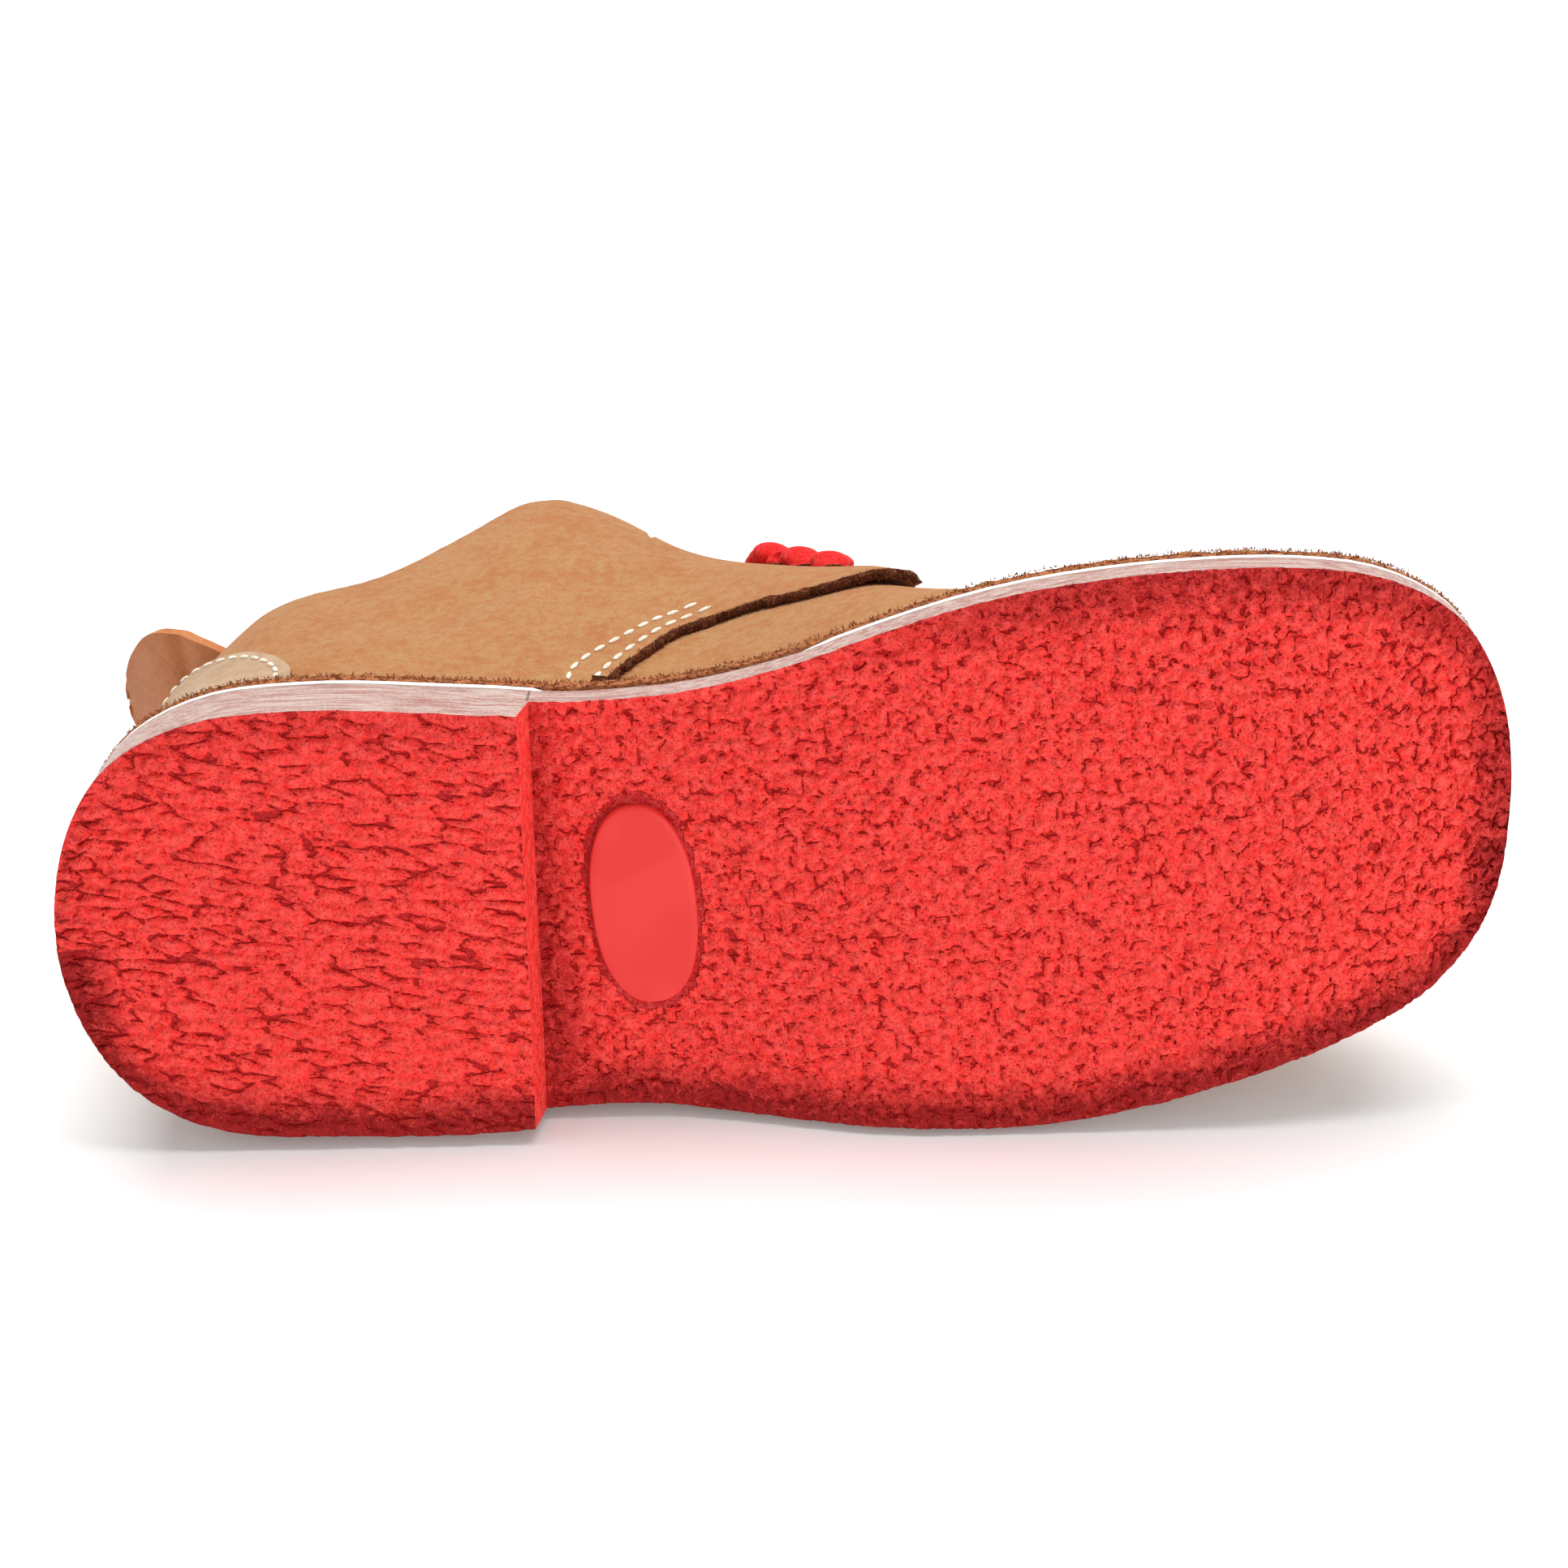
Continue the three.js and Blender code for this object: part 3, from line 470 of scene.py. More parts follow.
CREPE_RED = (252, 44, 40)
# painted light on the high crumbs, laid over their random tone
CREPE_CREST_LIT = (255, 82, 74)
# painted shade for the cracks, the grain's pits and the scallops' borders
CRACK_SHADE_RED = (184, 14, 16)
FLOOR_RED = (206, 60, 62)
# painted shade along the tread's rims and beside the heel's breast
SHADE_RED = (158, 14, 14)
crepe = Finish("crepe_rubber", Roughness=0.5, IOR=1.5, Specular_IOR_Level=0.25)
crack = crepe.node("ShaderNodeAttribute", {"attribute_name": "crack"}, output=2)
painted_shade = crepe.node("ShaderNodeAttribute", {"attribute_name": "painted_shade"}, output=2)
ragged = crepe.noise(0.55, 3, 0.6, seed=5.0)
grain = crepe.noise(0.4, 3, 0.6, seed=3.0)
clump = crepe.noise(1.3, 4, 0.62)
scallop = crepe.node("ShaderNodeTexVoronoi", Vector=crepe.place(), Scale=1 / (1.5 * MM))
# painted shade: the scallops' borders, the crack lines, the grain's pits and the slopes down into the cracks
# are darkened where the relief's own shade would fall
fold = crepe.ramp(scallop + (ragged - 0.5) * 0.5, 0.62, 0.82)
edge = crack + (ragged - 0.5) * 0.55
line_red = crepe.ramp(edge, 0.34, 0.08)
floor_red = crepe.ramp(edge, 0.06, -0.06) * crepe.ramp(clump, 0.42, 0.55)
slope_red = crepe.ramp(edge, 1.1, 0.1)
pit = crepe.ramp(grain, 0.40, 0.30)
# the crumbs are lighter where they stand high: painted light that follows the bump, together with random tone
face_red = crepe.mix(crepe.ramp(clump * 0.6 + grain * 0.4, 0.36, 0.62), CREPE_RED, CREPE_CREST_LIT)
face_red = crepe.mix(slope_red * 0.45, face_red, CREPE_RED)
# painted shade near the rims and beside the breast, deepest where the crumbs lie low
face_red = crepe.mix(painted_shade * crepe.ramp(clump * 0.6 + grain * 0.4, 0.85, 0.35), face_red, SHADE_RED)
# painted shade in the cracks, pits and scallop borders
cut_red = crepe.mix(line_red * 0.9 + pit * 0.35 + fold * 0.3, face_red, CRACK_SHADE_RED)
crepe.set(Base_Color=crepe.mix(floor_red, cut_red, FLOOR_RED))
crepe.set(Roughness=0.6 - 0.15 * line_red)
crepe.bump(grain * 0.6 + clump * 1.0 - scallop * 1.0 - line_red * 0.8 - pit * 0.3, 0.6, 1.0)

WALL_ROSE = (168, 118, 110)
WALL_PALE = (204, 182, 172)
trimmed = Finish("trimmed_rubber_edge", Roughness=0.42, IOR=1.5, Specular_IOR_Level=0.3)
streak = trimmed.noise(0.5, 4, 0.6, stretch=(0.05, 1.0, 1.0))
speck = trimmed.noise(0.5, 3, 0.7, seed=7.0)
trimmed.tones(streak * 0.7 + speck * 0.3, 0.38, 0.62, WALL_ROSE, WALL_PALE)
trimmed.bump(streak * 0.7 + speck * 0.5, 0.12, 0.7)
for piece in (heel_block, plate):
    piece.data.materials.append(crepe.material)
    piece.data.materials.append(trimmed.material)
    settle(piece, "outsole", slot="crepe_rubber")

# The plain oval on the waist is moulded smooth, with a rounded rim.
OVAL_SPOKES = 96
oval_face = float(tread_height(np.array(OVAL_CENTRE[0])))
spoke = np.linspace(0, 2 * math.pi, OVAL_SPOKES, endpoint=False)


def oval_ring(inset, height):
    def blunt(value):
        return np.sign(value) * np.abs(value) ** (2 / OVAL_POWER)

    return np.stack([
        OVAL_CENTRE[0] + (OVAL_SIZE[0] / 2 - inset) * blunt(np.cos(spoke)),
        OVAL_CENTRE[1] + (OVAL_SIZE[1] / 2 - inset) * blunt(np.sin(spoke)),
        np.full(OVAL_SPOKES, height),
    ], axis=1)


oval_profile = [(0.0, 1.6), (0.0, -OVAL_RISE + 0.35), (0.12, -OVAL_RISE + 0.12), (0.4, -OVAL_RISE),
                (1.2, -OVAL_RISE - 0.02), (4.0, -OVAL_RISE - 0.06), (OVAL_SIZE[0] / 2, -OVAL_RISE - 0.08)]
oval_grid = np.array([oval_ring(inset, oval_face + height) for inset, height in oval_profile])
oval_grid = np.concatenate([oval_grid, oval_grid[:, :1]], axis=1)
oval_plate = sheet_of("outsole_oval", oval_grid)
close_up(oval_plate, 0.003)
smooth(oval_plate)
PLAIN_RED = (216, 50, 46)
PLAIN_LIGHT = (222, 56, 52)
plain_rubber = Finish("plain_rubber", Roughness=0.45, IOR=1.5, Specular_IOR_Level=0.25)
haze = plain_rubber.noise(12, 2, 0.4)
silk = plain_rubber.noise(0.3, 2, 0.5)
plain_rubber.tones(haze, 0.4, 0.6, PLAIN_RED, PLAIN_LIGHT)
plain_rubber.bump(silk, 0.02, 0.5)
oval_plate.data.materials.append(plain_rubber.material)
settle(oval_plate, "outsole", slot="crepe_rubber")

# --- Upper: vamp and linings -------------------------------------------------------------------------
# One skin of soft tan suede drawn over the last, turned outwards at its foot into the flange that is
# stitched down on the sole. It runs all round and stays open at the collar and along the throat.
SUEDE = 1.6
QUARTER_SUEDE = 1.7
FLANGE_WIDTH = 4.8
FLARE_RADIUS = 2.2
COLLAR_PEAK = 98
SHAFT_TOP_MARGIN = 14
INSTEP_HEIGHT = 70
TOE_HEIGHT = 31
SHAFT_SWAY = 6
HEEL_SEAT_BULGE = 0.3
COLLAR_LEAN = 5.5
THROAT_END = 122
THROAT_START = 0.2 * SOLE_LENGTH
THROAT_HALF_GAP = 5
QUARTER_TIP_SPREAD = 4.5
THROAT_SPREAD_END = THROAT_END + 24
FEATHER_RISE = OUTSOLE_THICKNESS + 2.7
TOE_ROUND_FROM = 0.86
TOE_ROUNDNESS = 2.3
# along, ridge as shares of collar, instep and toe heights, boxiness, inner and outer growth, ridge's
# shift
SECTIONS = np.array([
    (0.00, 0.92, 0.00, 0.00, 4.0, 0.74, 0.90, 0.00),
    (0.10, 0.94, 0.00, 0.00, 4.0, 0.74, 0.90, 0.00),
    (0.17, 0.96, 0.00, 0.00, 4.0, 0.76, 0.90, 0.00),
    (0.24, 0.98, 0.00, 0.00, 4.2, 0.91, 0.94, -0.01),
    (0.30, 0.98, 0.00, 0.00, 4.0, 1.11, 0.98, -0.03),
    (0.36, 0.93, 0.00, 0.00, 3.5, 1.17, 1.02, -0.05),
    (0.43, 0.81, 0.00, 0.00, 3.1, 1.07, 1.04, -0.07),
    (0.52, 0.00, 1.06, 0.00, 2.9, 1.08, 1.04, -0.08),
    (0.57, 0.00, 0.93, 0.00, 2.7, 1.08, 1.04, -0.075),
    (0.62, 0.00, 0.80, 0.00, 2.4, 1.02, 1.03, -0.06),
    (0.67, 0.00, 0.69, 0.00, 2.2, 1.00, 1.03, -0.05),
    (0.75, 0.00, 0.00, 1.33, 2.3, 1.00, 1.02, -0.04),
    (0.84, 0.00, 0.00, 1.17, 2.4, 1.00, 1.01, -0.03),
    (0.92, 0.00, 0.00, 1.03, 2.6, 1.00, 1.00, -0.02),
    (1.00, 0.00, 0.00, 0.92, 2.6, 1.00, 1.00, 0.00),
])
COLLAR_LINE = np.array([
    (-0.15, 0.700), (0.02, 0.690), (0.09, 0.665), (0.16, 0.665), (0.21, 0.720),
    (0.26, 0.850), (0.30, 0.955), (0.335, 0.995), (0.365, 0.995), (0.395, 0.960),
])


def column(table, index, along):
    """A column of a table with smooth slopes between its rows."""
    places, values = table[:, 0], table[:, index]
    row = np.clip(np.searchsorted(places, along) - 1, 0, len(places) - 2)
    before = np.maximum(row - 1, 0)
    after = np.minimum(row + 2, len(places) - 1)
    width = places[row + 1] - places[row]
    t = np.clip((along - places[row]) / width, 0, 1)
    first = (values[row + 1] - values[before]) / (places[row + 1] - places[before]) * width
    second = (values[after] - values[row]) / (places[after] - places[row]) * width
    return bow(t, values[row], first, values[row + 1], second)


def feather(x):
    return tread_height(x) + FEATHER_RISE


class Last:
    """The form of the last, grown outwards by a distance; sides are -1 inner and +1 outer."""

    def __init__(self, grow):
        self.grow = grow
        self.margin = FLANGE_WIDTH - grow
        moved = outline - outline_normal * self.margin
        first = moved[:, 0].argmin()
        moved, normal = np.roll(moved, -first, axis=0), np.roll(outline_normal, -first, axis=0)
        last = moved[:, 0].argmax()
        self.branch = {
            -1: (moved[: last + 1], normal[: last + 1]),
            1: tuple(np.concatenate([rows[last:], rows[:1]])[::-1] for rows in (moved, normal)),
        }
        self.heel, self.toe = moved[0, 0], moved[last, 0]

    def foot(self, x, side):
        points = self.branch[side][0]
        return np.interp(x, points[:, 0], points[:, 1])

    def way_out(self, x, side):
        points, normals = self.branch[side]
        return unit(np.stack([np.interp(x, points[:, 0], normals[:, axis]) for axis in (0, 1)], axis=-1))

    def measures(self, x):
        along = np.clip((x - self.heel) / (self.toe - self.heel), 0, 1)
        floor = feather(x)
        top = (column(SECTIONS, 1, along) * (COLLAR_PEAK + SHAFT_TOP_MARGIN)
               + column(SECTIONS, 2, along) * INSTEP_HEIGHT
               + column(SECTIONS, 3, along) * TOE_HEIGHT + self.grow)
        toe = np.clip((along - TOE_ROUND_FROM) / (1 - TOE_ROUND_FROM), 0, 1)
        rise = (top - floor) * (1 - toe**TOE_ROUNDNESS) ** (1 / TOE_ROUNDNESS)
        return along, floor, rise

    def at(self, x, side, up, flare=0.0, foot_rise=0.0):
        """A point of the form, at a place along the shoe and a share of the arch's rise."""
        along, floor, rise = self.measures(x)
        inner, outer = self.foot(x, -1), self.foot(x, 1)
        foot = inner if side < 0 else outer
        ridge = (inner + outer) / 2 + column(SECTIONS, 7, along) * (outer - inner)
        spread = 1 + (column(SECTIONS, 5 if side < 0 else 6, along) - 1) * up
        boxiness = column(SECTIONS, 4, along)
        out = (1 - np.clip(up, 0, 1) ** boxiness) ** (1 / boxiness) * spread
        lift = rise * up
        height = lift / (COLLAR_PEAK - floor)
        sway = -SHAFT_SWAY * height**1.3 * (1 - smoothstep(0.4, 0.65, along))
        bulge = HEEL_SEAT_BULGE * np.sin(math.pi * np.minimum(height / 0.6, 1))
        lean = COLLAR_LEAN * (height / 0.6) ** 2
        fade = (1 - np.minimum(along / 0.35, 1)) ** 2
        skirt = flare * np.exp(-lift / FLARE_RADIUS)
        way = self.way_out(x, side)
        return np.stack([
            x + (lean - bulge) * fade + skirt * way[..., 0],
            ridge + (foot - ridge) * out + sway + skirt * way[..., 1],
            floor + lift + foot_rise * np.exp(-lift / 2.4),
        ], axis=-1)

    def solve(self, test, x, low=0.0, high=1.0):
        """The share of the rise where a test of the point turns from true to false."""
        low, high = np.full(np.shape(x), low), np.full(np.shape(x), high)
        for _ in range(34):
            middle = (low + high) / 2
            inside = test(middle)
            low, high = np.where(inside, middle, low), np.where(inside, high, middle)
        return (low + high) / 2

    def top(self, x, side, half_gap):
        """Where the skin ends: at the collar's line or at the throat's edge, or on the ridge."""
        def below(up):
            point = self.at(x, side, up)
            ridge = self.at(x, side, np.ones_like(x))[..., 1]
            line = column(COLLAR_LINE, 1, point[..., 0] / SOLE_LENGTH) * COLLAR_PEAK
            under = (point[..., 2] < line) | (point[..., 0] > COLLAR_LINE[-1, 0] * SOLE_LENGTH)
            return under & (abs(point[..., 1] - ridge) > half_gap(x))
        return self.solve(below, x)


def throat_gap(x):
    round_end = np.sqrt(np.clip(1 - (np.clip(x - THROAT_END, 0, None) / THROAT_HALF_GAP) ** 2, 0, 1))
    return THROAT_HALF_GAP * round_end


def facing_gap(x):
    along = (x - THROAT_START) / (THROAT_SPREAD_END - THROAT_START)
    return THROAT_HALF_GAP + QUARTER_TIP_SPREAD * along**3


# Soft troughs and ridges where the skin has been walked and pressed: place along, height, side,
# length, breadth, lean of its line, depth outwards (negative inwards).
CREASES = [
    (58, 46, -1, 30, 9, 0.9, -0.9),
    (74, 56, -1, 26, 10, 1.2, 0.7),
    (46, 34, -1, 22, 8, 0.5, 0.6),
    (92, 44, -1, 26, 7, -0.8, -0.6),
    (104, 56, -1, 18, 6, -1.0, 0.5),
    (60, 40, 1, 32, 9, 0.8, -0.9),
    (78, 54, 1, 24, 9, 1.1, 0.7),
    (98, 44, 1, 26, 7, -0.8, -0.7),
    (136, 40, -1, 20, 5, -1.4, -0.5),
    (146, 36, -1, 22, 5, -1.4, 0.4),
    (138, 40, 1, 22, 5, 1.4, -0.5),
    (150, 34, 1, 22, 5, 1.4, 0.4),
    (20, 40, -1, 20, 8, 0.3, -0.5),
    (20, 38, 1, 20, 8, 0.3, -0.5),
]


def creased(points, side):
    """Moves points outwards or inwards, away from the shoe's middle line, by the creases near them."""
    moved = points.copy()
    push = np.zeros(points.shape[:-1])
    for x, z, where, length, breadth, lean, depth in CREASES:
        if where == side:
            norm = math.hypot(1, lean)
            dx, dz = points[..., 0] - x, points[..., 2] - z
            along = (dx + lean * dz) / norm
            across = (-lean * dx + dz) / norm
            push += depth * np.exp(-(along / length * 2) ** 2 - (across / breadth * 1.6) ** 2)
    ridge = vamp_last.at(points[..., 0], side, np.ones(points.shape[:-1]))[..., 1]
    off_ridge = abs(points[..., 1] - ridge)
    moved[..., 1] += side * push * smoothstep(THROAT_HALF_GAP, 3 * THROAT_HALF_GAP, off_ridge)
    return moved


VAMP_STATIONS = 300
VAMP_ROWS = 56
FLANGE_ROWS = 6
FLANGE_EDGE = 0.4
VAMP_FLARE = 2.4
vamp_last = Last(0)
share = (1 - np.cos(np.linspace(0, math.pi, VAMP_STATIONS))) / 2
vamp_x = vamp_last.heel + (vamp_last.toe - vamp_last.heel) * share
sides = []
for side in (-1, 1):
    tops = vamp_last.top(vamp_x, side, throat_gap)
    rows = []
    way = vamp_last.way_out(vamp_x, side)
    for row in range(FLANGE_ROWS):
        reach = (FLANGE_WIDTH - FLANGE_EDGE - VAMP_FLARE) * (1 - row / FLANGE_ROWS)
        foot = vamp_last.at(vamp_x, side, np.zeros_like(vamp_x), VAMP_FLARE, SUEDE)
        foot[:, :2] += way * reach
        rows.append(foot)
    for row in range(VAMP_ROWS + 1):
        angle = np.arcsin(np.clip(tops, 0, 1)) * (row / VAMP_ROWS) ** 1.35
        rows.append(vamp_last.at(vamp_x, side, np.sin(angle), VAMP_FLARE, SUEDE))
    sides.append(creased(np.array(rows), side))
inner_half, outer_half = sides
vamp_grid = np.concatenate([inner_half, outer_half[::-1]]).transpose(1, 0, 2)
vamp = sheet_of("upper_vamp", vamp_grid)
# the strip between the two top edges is open wherever the shoe is
bm = bmesh.new()
bm.from_mesh(vamp.data)
bm.verts.ensure_lookup_table()
per_station = vamp_grid.shape[1]
seam = len(inner_half) - 1
bridge = [face for face in bm.faces
          if {seam, seam + 1} <= {vertex.index % per_station for vertex in face.verts}]
bmesh.ops.delete(bm, geom=bridge, context="FACES_ONLY")
bm.to_mesh(vamp.data)
bm.free()
close_up(vamp, 0.02)


def raw_edge(piece, inset, front_x, seed):
    """Frays the open border of a skin, as a cut edge of suede is, least where it is trimmed."""
    bm = bmesh.new()
    bm.from_mesh(piece.data)
    for vertex in bm.verts:
        if vertex.is_boundary:
            shift = noise.noise_vector(vertex.co / 1.7 + Vector((seed, 0, 0)))
            shift += noise.noise_vector(vertex.co / 0.8 + Vector((seed, 9, 0))) * 0.4
            front = vertex.co.x > front_x and vertex.co.z < INSTEP_HEIGHT - 6
            vertex.co += shift * inset * (1 if front else 0.25)
    bm.to_mesh(piece.data)
    bm.free()


TAN = (186, 128, 80)
TAN_DEEP = (180, 108, 60)
TAN_PALE = (190, 150, 102)
TAN_SPECK = (190, 104, 54)


def suede_finish(name, deep, middle, pale):
    """Brushed suede: soft clouds, the nap's short strokes and a few orange specks."""
    finish = Finish(name, Roughness=0.95, IOR=1.4, Specular_IOR_Level=0.15, Sheen_Weight=0.12,
                    Sheen_Roughness=0.5)
    cloud = finish.noise(9, 3, 0.6)
    brush = finish.noise(1.6, 4, 0.65, seed=2.0)
    nap = finish.noise(0.34, 4, 0.75, seed=4.0)
    tone = finish.mix(finish.ramp(cloud * 0.25 + brush * 0.35 + nap * 0.4, 0.40, 0.60), deep, pale)
    tone = finish.mix(0.25, tone, middle)
    orange = finish.ramp(finish.noise(0.6, 4, 0.75, seed=9.0) + (cloud - 0.5) * 0.5, 0.54, 0.68)
    tone = finish.mix(orange * 0.5, tone, TAN_SPECK)
    finish.set(Base_Color=finish.mix(finish.ramp(nap, 0.60, 0.74) * 0.45, tone, deep))
    finish.bump(nap * 1.0 + brush * 0.5, 0.24, 0.9)
    return finish


suede = suede_finish("tan_suede", TAN_DEEP, TAN, TAN_PALE)
RAW_DARK = (100, 52, 32)
RAW_RUST = (206, 124, 80)
cut_edge = Finish("cut_suede_edge", Roughness=0.95, IOR=1.35)
fibre = cut_edge.noise(0.4, 4, 0.8)
cut_edge.tones(fibre, 0.42, 0.68, RAW_DARK, RAW_RUST)
cut_edge.bump(fibre, 0.8, 1.0)
SPLIT_DARK = (112, 52, 30)
SPLIT_PALE = (208, 132, 86)
split_edge = Finish("split_leather_edge", Roughness=0.95, IOR=1.35, Specular_IOR_Level=0.2)
strand = split_edge.noise(0.5, 4, 0.75, stretch=(0.5, 0.5, 1.6))
split_edge.tones(strand, 0.38, 0.55, SPLIT_DARK, SPLIT_PALE)
split_edge.bump(strand, 0.8, 1.0)


def thicken(piece, thickness, face, edge):
    """Gives a skin its thickness towards the inside, with another finish on its cut edge."""
    for finish in (face, edge):
        piece.data.materials.append(finish.material)
    modifier(piece, "SOLIDIFY", thickness=thickness, offset=-1, use_rim=True, use_even_offset=False,
             material_offset=0, material_offset_rim=1)
    smooth(piece)


raw_edge(vamp, 0.3, THROAT_END - 30, 1.0)
thicken(vamp, SUEDE, suede, split_edge)
settle(vamp, "upper", slot="suede")

# --- Upper: quarters ---------------------------------------------------------------------------------
# A second skin of the same suede, laid over the vamp from the heel to the instep. Its front is left
# as a thick raw edge that curves forward to a round tip below the lace.
QUARTER_EDGE = np.array([
    (0.372, 0.00), (0.378, 0.17), (0.394, 0.32), (0.419, 0.445), (0.436, 0.515), (0.457, 0.555),
    (0.487, 0.568), (0.522, 0.553), (0.560, 0.542), (0.588, 0.546), (0.604, 0.560), (0.611, 0.605),
    (0.611, 0.67), (0.606, 0.76), (0.589, 0.89), (0.560, 1.07),
]) * (SOLE_LENGTH, INSTEP_HEIGHT)
EDGE_STEPS = 600
REAR_STATIONS = 130
FRONT_STATIONS = 170
QUARTER_ROWS = 56
TIP_GAPE = 0.5
TIP_GAPE_FROM = 117
QUARTER_FLARE = 1.44
quarter_last = Last(QUARTER_SUEDE)


def run_of(line):
    """How far along a line each of its points lies."""
    return np.concatenate([[0], np.cumsum(np.linalg.norm(np.diff(line, axis=0), axis=1))])


def read_at(at, run, line):
    """The points of a line at some lengths of its run."""
    return np.stack([np.interp(at, run, line[:, axis]) for axis in range(line.shape[1])], axis=1)


def smooth_line(points, count):
    """Even steps along a soft line through points."""
    length = run_of(points)
    fine_at = np.linspace(0, length[-1], 1200)
    line = np.stack([through(length, points[:, axis], fine_at) for axis in range(points.shape[1])], axis=1)
    run = run_of(line)
    return read_at(np.linspace(0, run[-1], count), run, line)


front_line = smooth_line(QUARTER_EDGE, EDGE_STEPS)
edge_step = np.arange(EDGE_STEPS)
quarter_rows = {}
for side in (-1, 1):
    # the edge, cut off where it runs into the throat's edge
    edge_x = front_line[:, 0]
    _, floor, rise = quarter_last.measures(edge_x)
    edge_up = np.clip((front_line[:, 1] - floor) / rise, 0, 1)
    throat_up = quarter_last.top(edge_x, side, facing_gap)
    past = np.nonzero((edge_up > throat_up) & (edge_step > EDGE_STEPS // 2))[0]
    last_index = past[0] if len(past) else EDGE_STEPS - 1
    first_index = np.argmax(front_line[:, 1] > floor)
    keep = np.linspace(first_index, last_index, FRONT_STATIONS)
    e_x = np.interp(keep, edge_step, edge_x)
    e_angle = np.arcsin(np.interp(keep, edge_step, edge_up))
    corner_x = e_x[-1]
    rear_share = 1 - np.cos(np.linspace(0, math.pi / 2, REAR_STATIONS, endpoint=False))
    rear_x = quarter_last.heel + (e_x[0] - quarter_last.heel) * rear_share
    top_x = e_x[0] + (corner_x - e_x[0]) * np.linspace(0, 1, FRONT_STATIONS)**1.8
    foot_x = np.concatenate([rear_x, e_x])
    foot_angle = np.concatenate([np.zeros(REAR_STATIONS), e_angle])
    head_x = np.concatenate([rear_x, top_x])
    head_angle = np.arcsin(np.clip(quarter_last.top(head_x, side, facing_gap), 0, 1))
    rows = []
    for row in range(QUARTER_ROWS + 1):
        share = (row / QUARTER_ROWS) ** 1.25
        x = foot_x + (head_x - foot_x) * share
        angle = foot_angle + (head_angle - foot_angle) * share
        gape = TIP_GAPE * smoothstep(TIP_GAPE_FROM, corner_x, x) * (1 - share)
        skin = quarter_last.at(x, side, np.sin(angle), QUARTER_FLARE, SUEDE)
        rows.append(skin + gape[:, None] * (0, side, 0.6))
    quarter_rows[side] = creased(np.array(rows), side)
quarter_grid = np.concatenate([quarter_rows[-1][:, ::-1], quarter_rows[1]], axis=1).transpose(1, 0, 2)
quarters = sheet_of("upper_quarters", quarter_grid)
close_up(quarters, 0.02)
raw_edge(quarters, 0.28, QUARTER_EDGE[1, 0], 5.0)
thicken(quarters, QUARTER_SUEDE * 0.96, suede, cut_edge)
settle(quarters, "upper", slot="suede")


def strewn(name, template, places):
    """One piece from a small mesh copied to many places."""
    bm = bmesh.new()
    for place in places:
        copy = template.copy()
        copy.transform(place)
        bm.from_mesh(copy)
        bpy.data.meshes.remove(copy)
    made = bpy.data.meshes.new(name)
    bm.to_mesh(made)
    bm.free()
    piece = bpy.data.objects.new(name, made)
    bpy.context.scene.collection.objects.link(piece)
    return piece


def placed(point, along, up, length=1.0, breadth=1.0, height=1.0):
    """A place for a copy: its length runs along one way, its top faces another."""
    along = Vector(along).normalized()
    side = Vector(up).cross(along).normalized()
    top = along.cross(side)
    frame_of = Matrix((along * length, side * breadth, top * height)).transposed().to_4x4()
    frame_of.translation = Vector(point)
    return frame_of


def small_shape(kind, stretch, **settings):
    rest_select()
    kind(**settings)
    shape = bpy.context.object
    mesh = shape.data.copy()
    mesh.transform(Matrix.Diagonal((*stretch, 1)))
    bpy.data.objects.remove(shape)
    return mesh


# --- Upper: stitches ---------------------------------------------------------------------------------
# Waxed ivory thread, sewn by machine: two rows behind the front edge of each quarter, up to the lace,
# and one row round the whole flange. Each stitch is a plump stroke that sinks in at both ends.
THREAD = 0.85
THREAD_PROUD = 0.12
STITCH_LENGTH = 2.5
STITCH_PITCH = 3.3
stitch = small_shape(bpy.ops.mesh.primitive_uv_sphere_add, (STITCH_LENGTH / 2, THREAD / 2, THREAD / 2 * 0.8),
                     segments=8, ring_count=6, radius=1)
ivory = Finish("ivory_thread", Roughness=0.7, IOR=1.45, Specular_IOR_Level=0.3)
ply = ivory.noise(0.5, 3, 0.6, stretch=(1.0, 0.4, 1.0))
ivory.tones(ply, 0.35, 0.6, (222, 208, 184), (250, 243, 228))
ivory.bump(ply, 0.1, 0.8)
STITCH_ROWS = [
    [(77.4, 19.5), (77.8, 23.5), (79.9, 27.9), (82.6, 31.5), (85.1, 34.6),
     (87.6, 37.8), (89.6, 40.3), (91.9, 42.8), (94.7, 44.6), (97.6, 45.6)],
    [(81.2, 19.5), (82.8, 23.7), (84.8, 27.8), (86.9, 31.2), (89.3, 34.8), (92.0, 38.0), (95.1, 41.0),
     (98.4, 42.6)],
]


def on_quarter(x, z, side):
    """A point of the quarters' outer face, seen from the side at a place and a height."""
    _, floor, rise = quarter_last.measures(x)
    return creased(quarter_last.at(x, side, (z - floor) / rise, QUARTER_FLARE, SUEDE), side)


def stitch_places(line, faces, pitch, lengthen=1.0):
    """Places for stitches of even pitch along a line that lies on a face."""
    run = run_of(line)
    at = np.arange(pitch / 2, run[-1], pitch)
    spot, out = read_at(at, run, line), read_at(at, run, faces)
    way = read_at(at + 0.6, run, line) - read_at(at - 0.6, run, line)
    return [placed(p + o * THREAD_PROUD, w, o, lengthen) for p, w, o in zip(spot, way, out)]


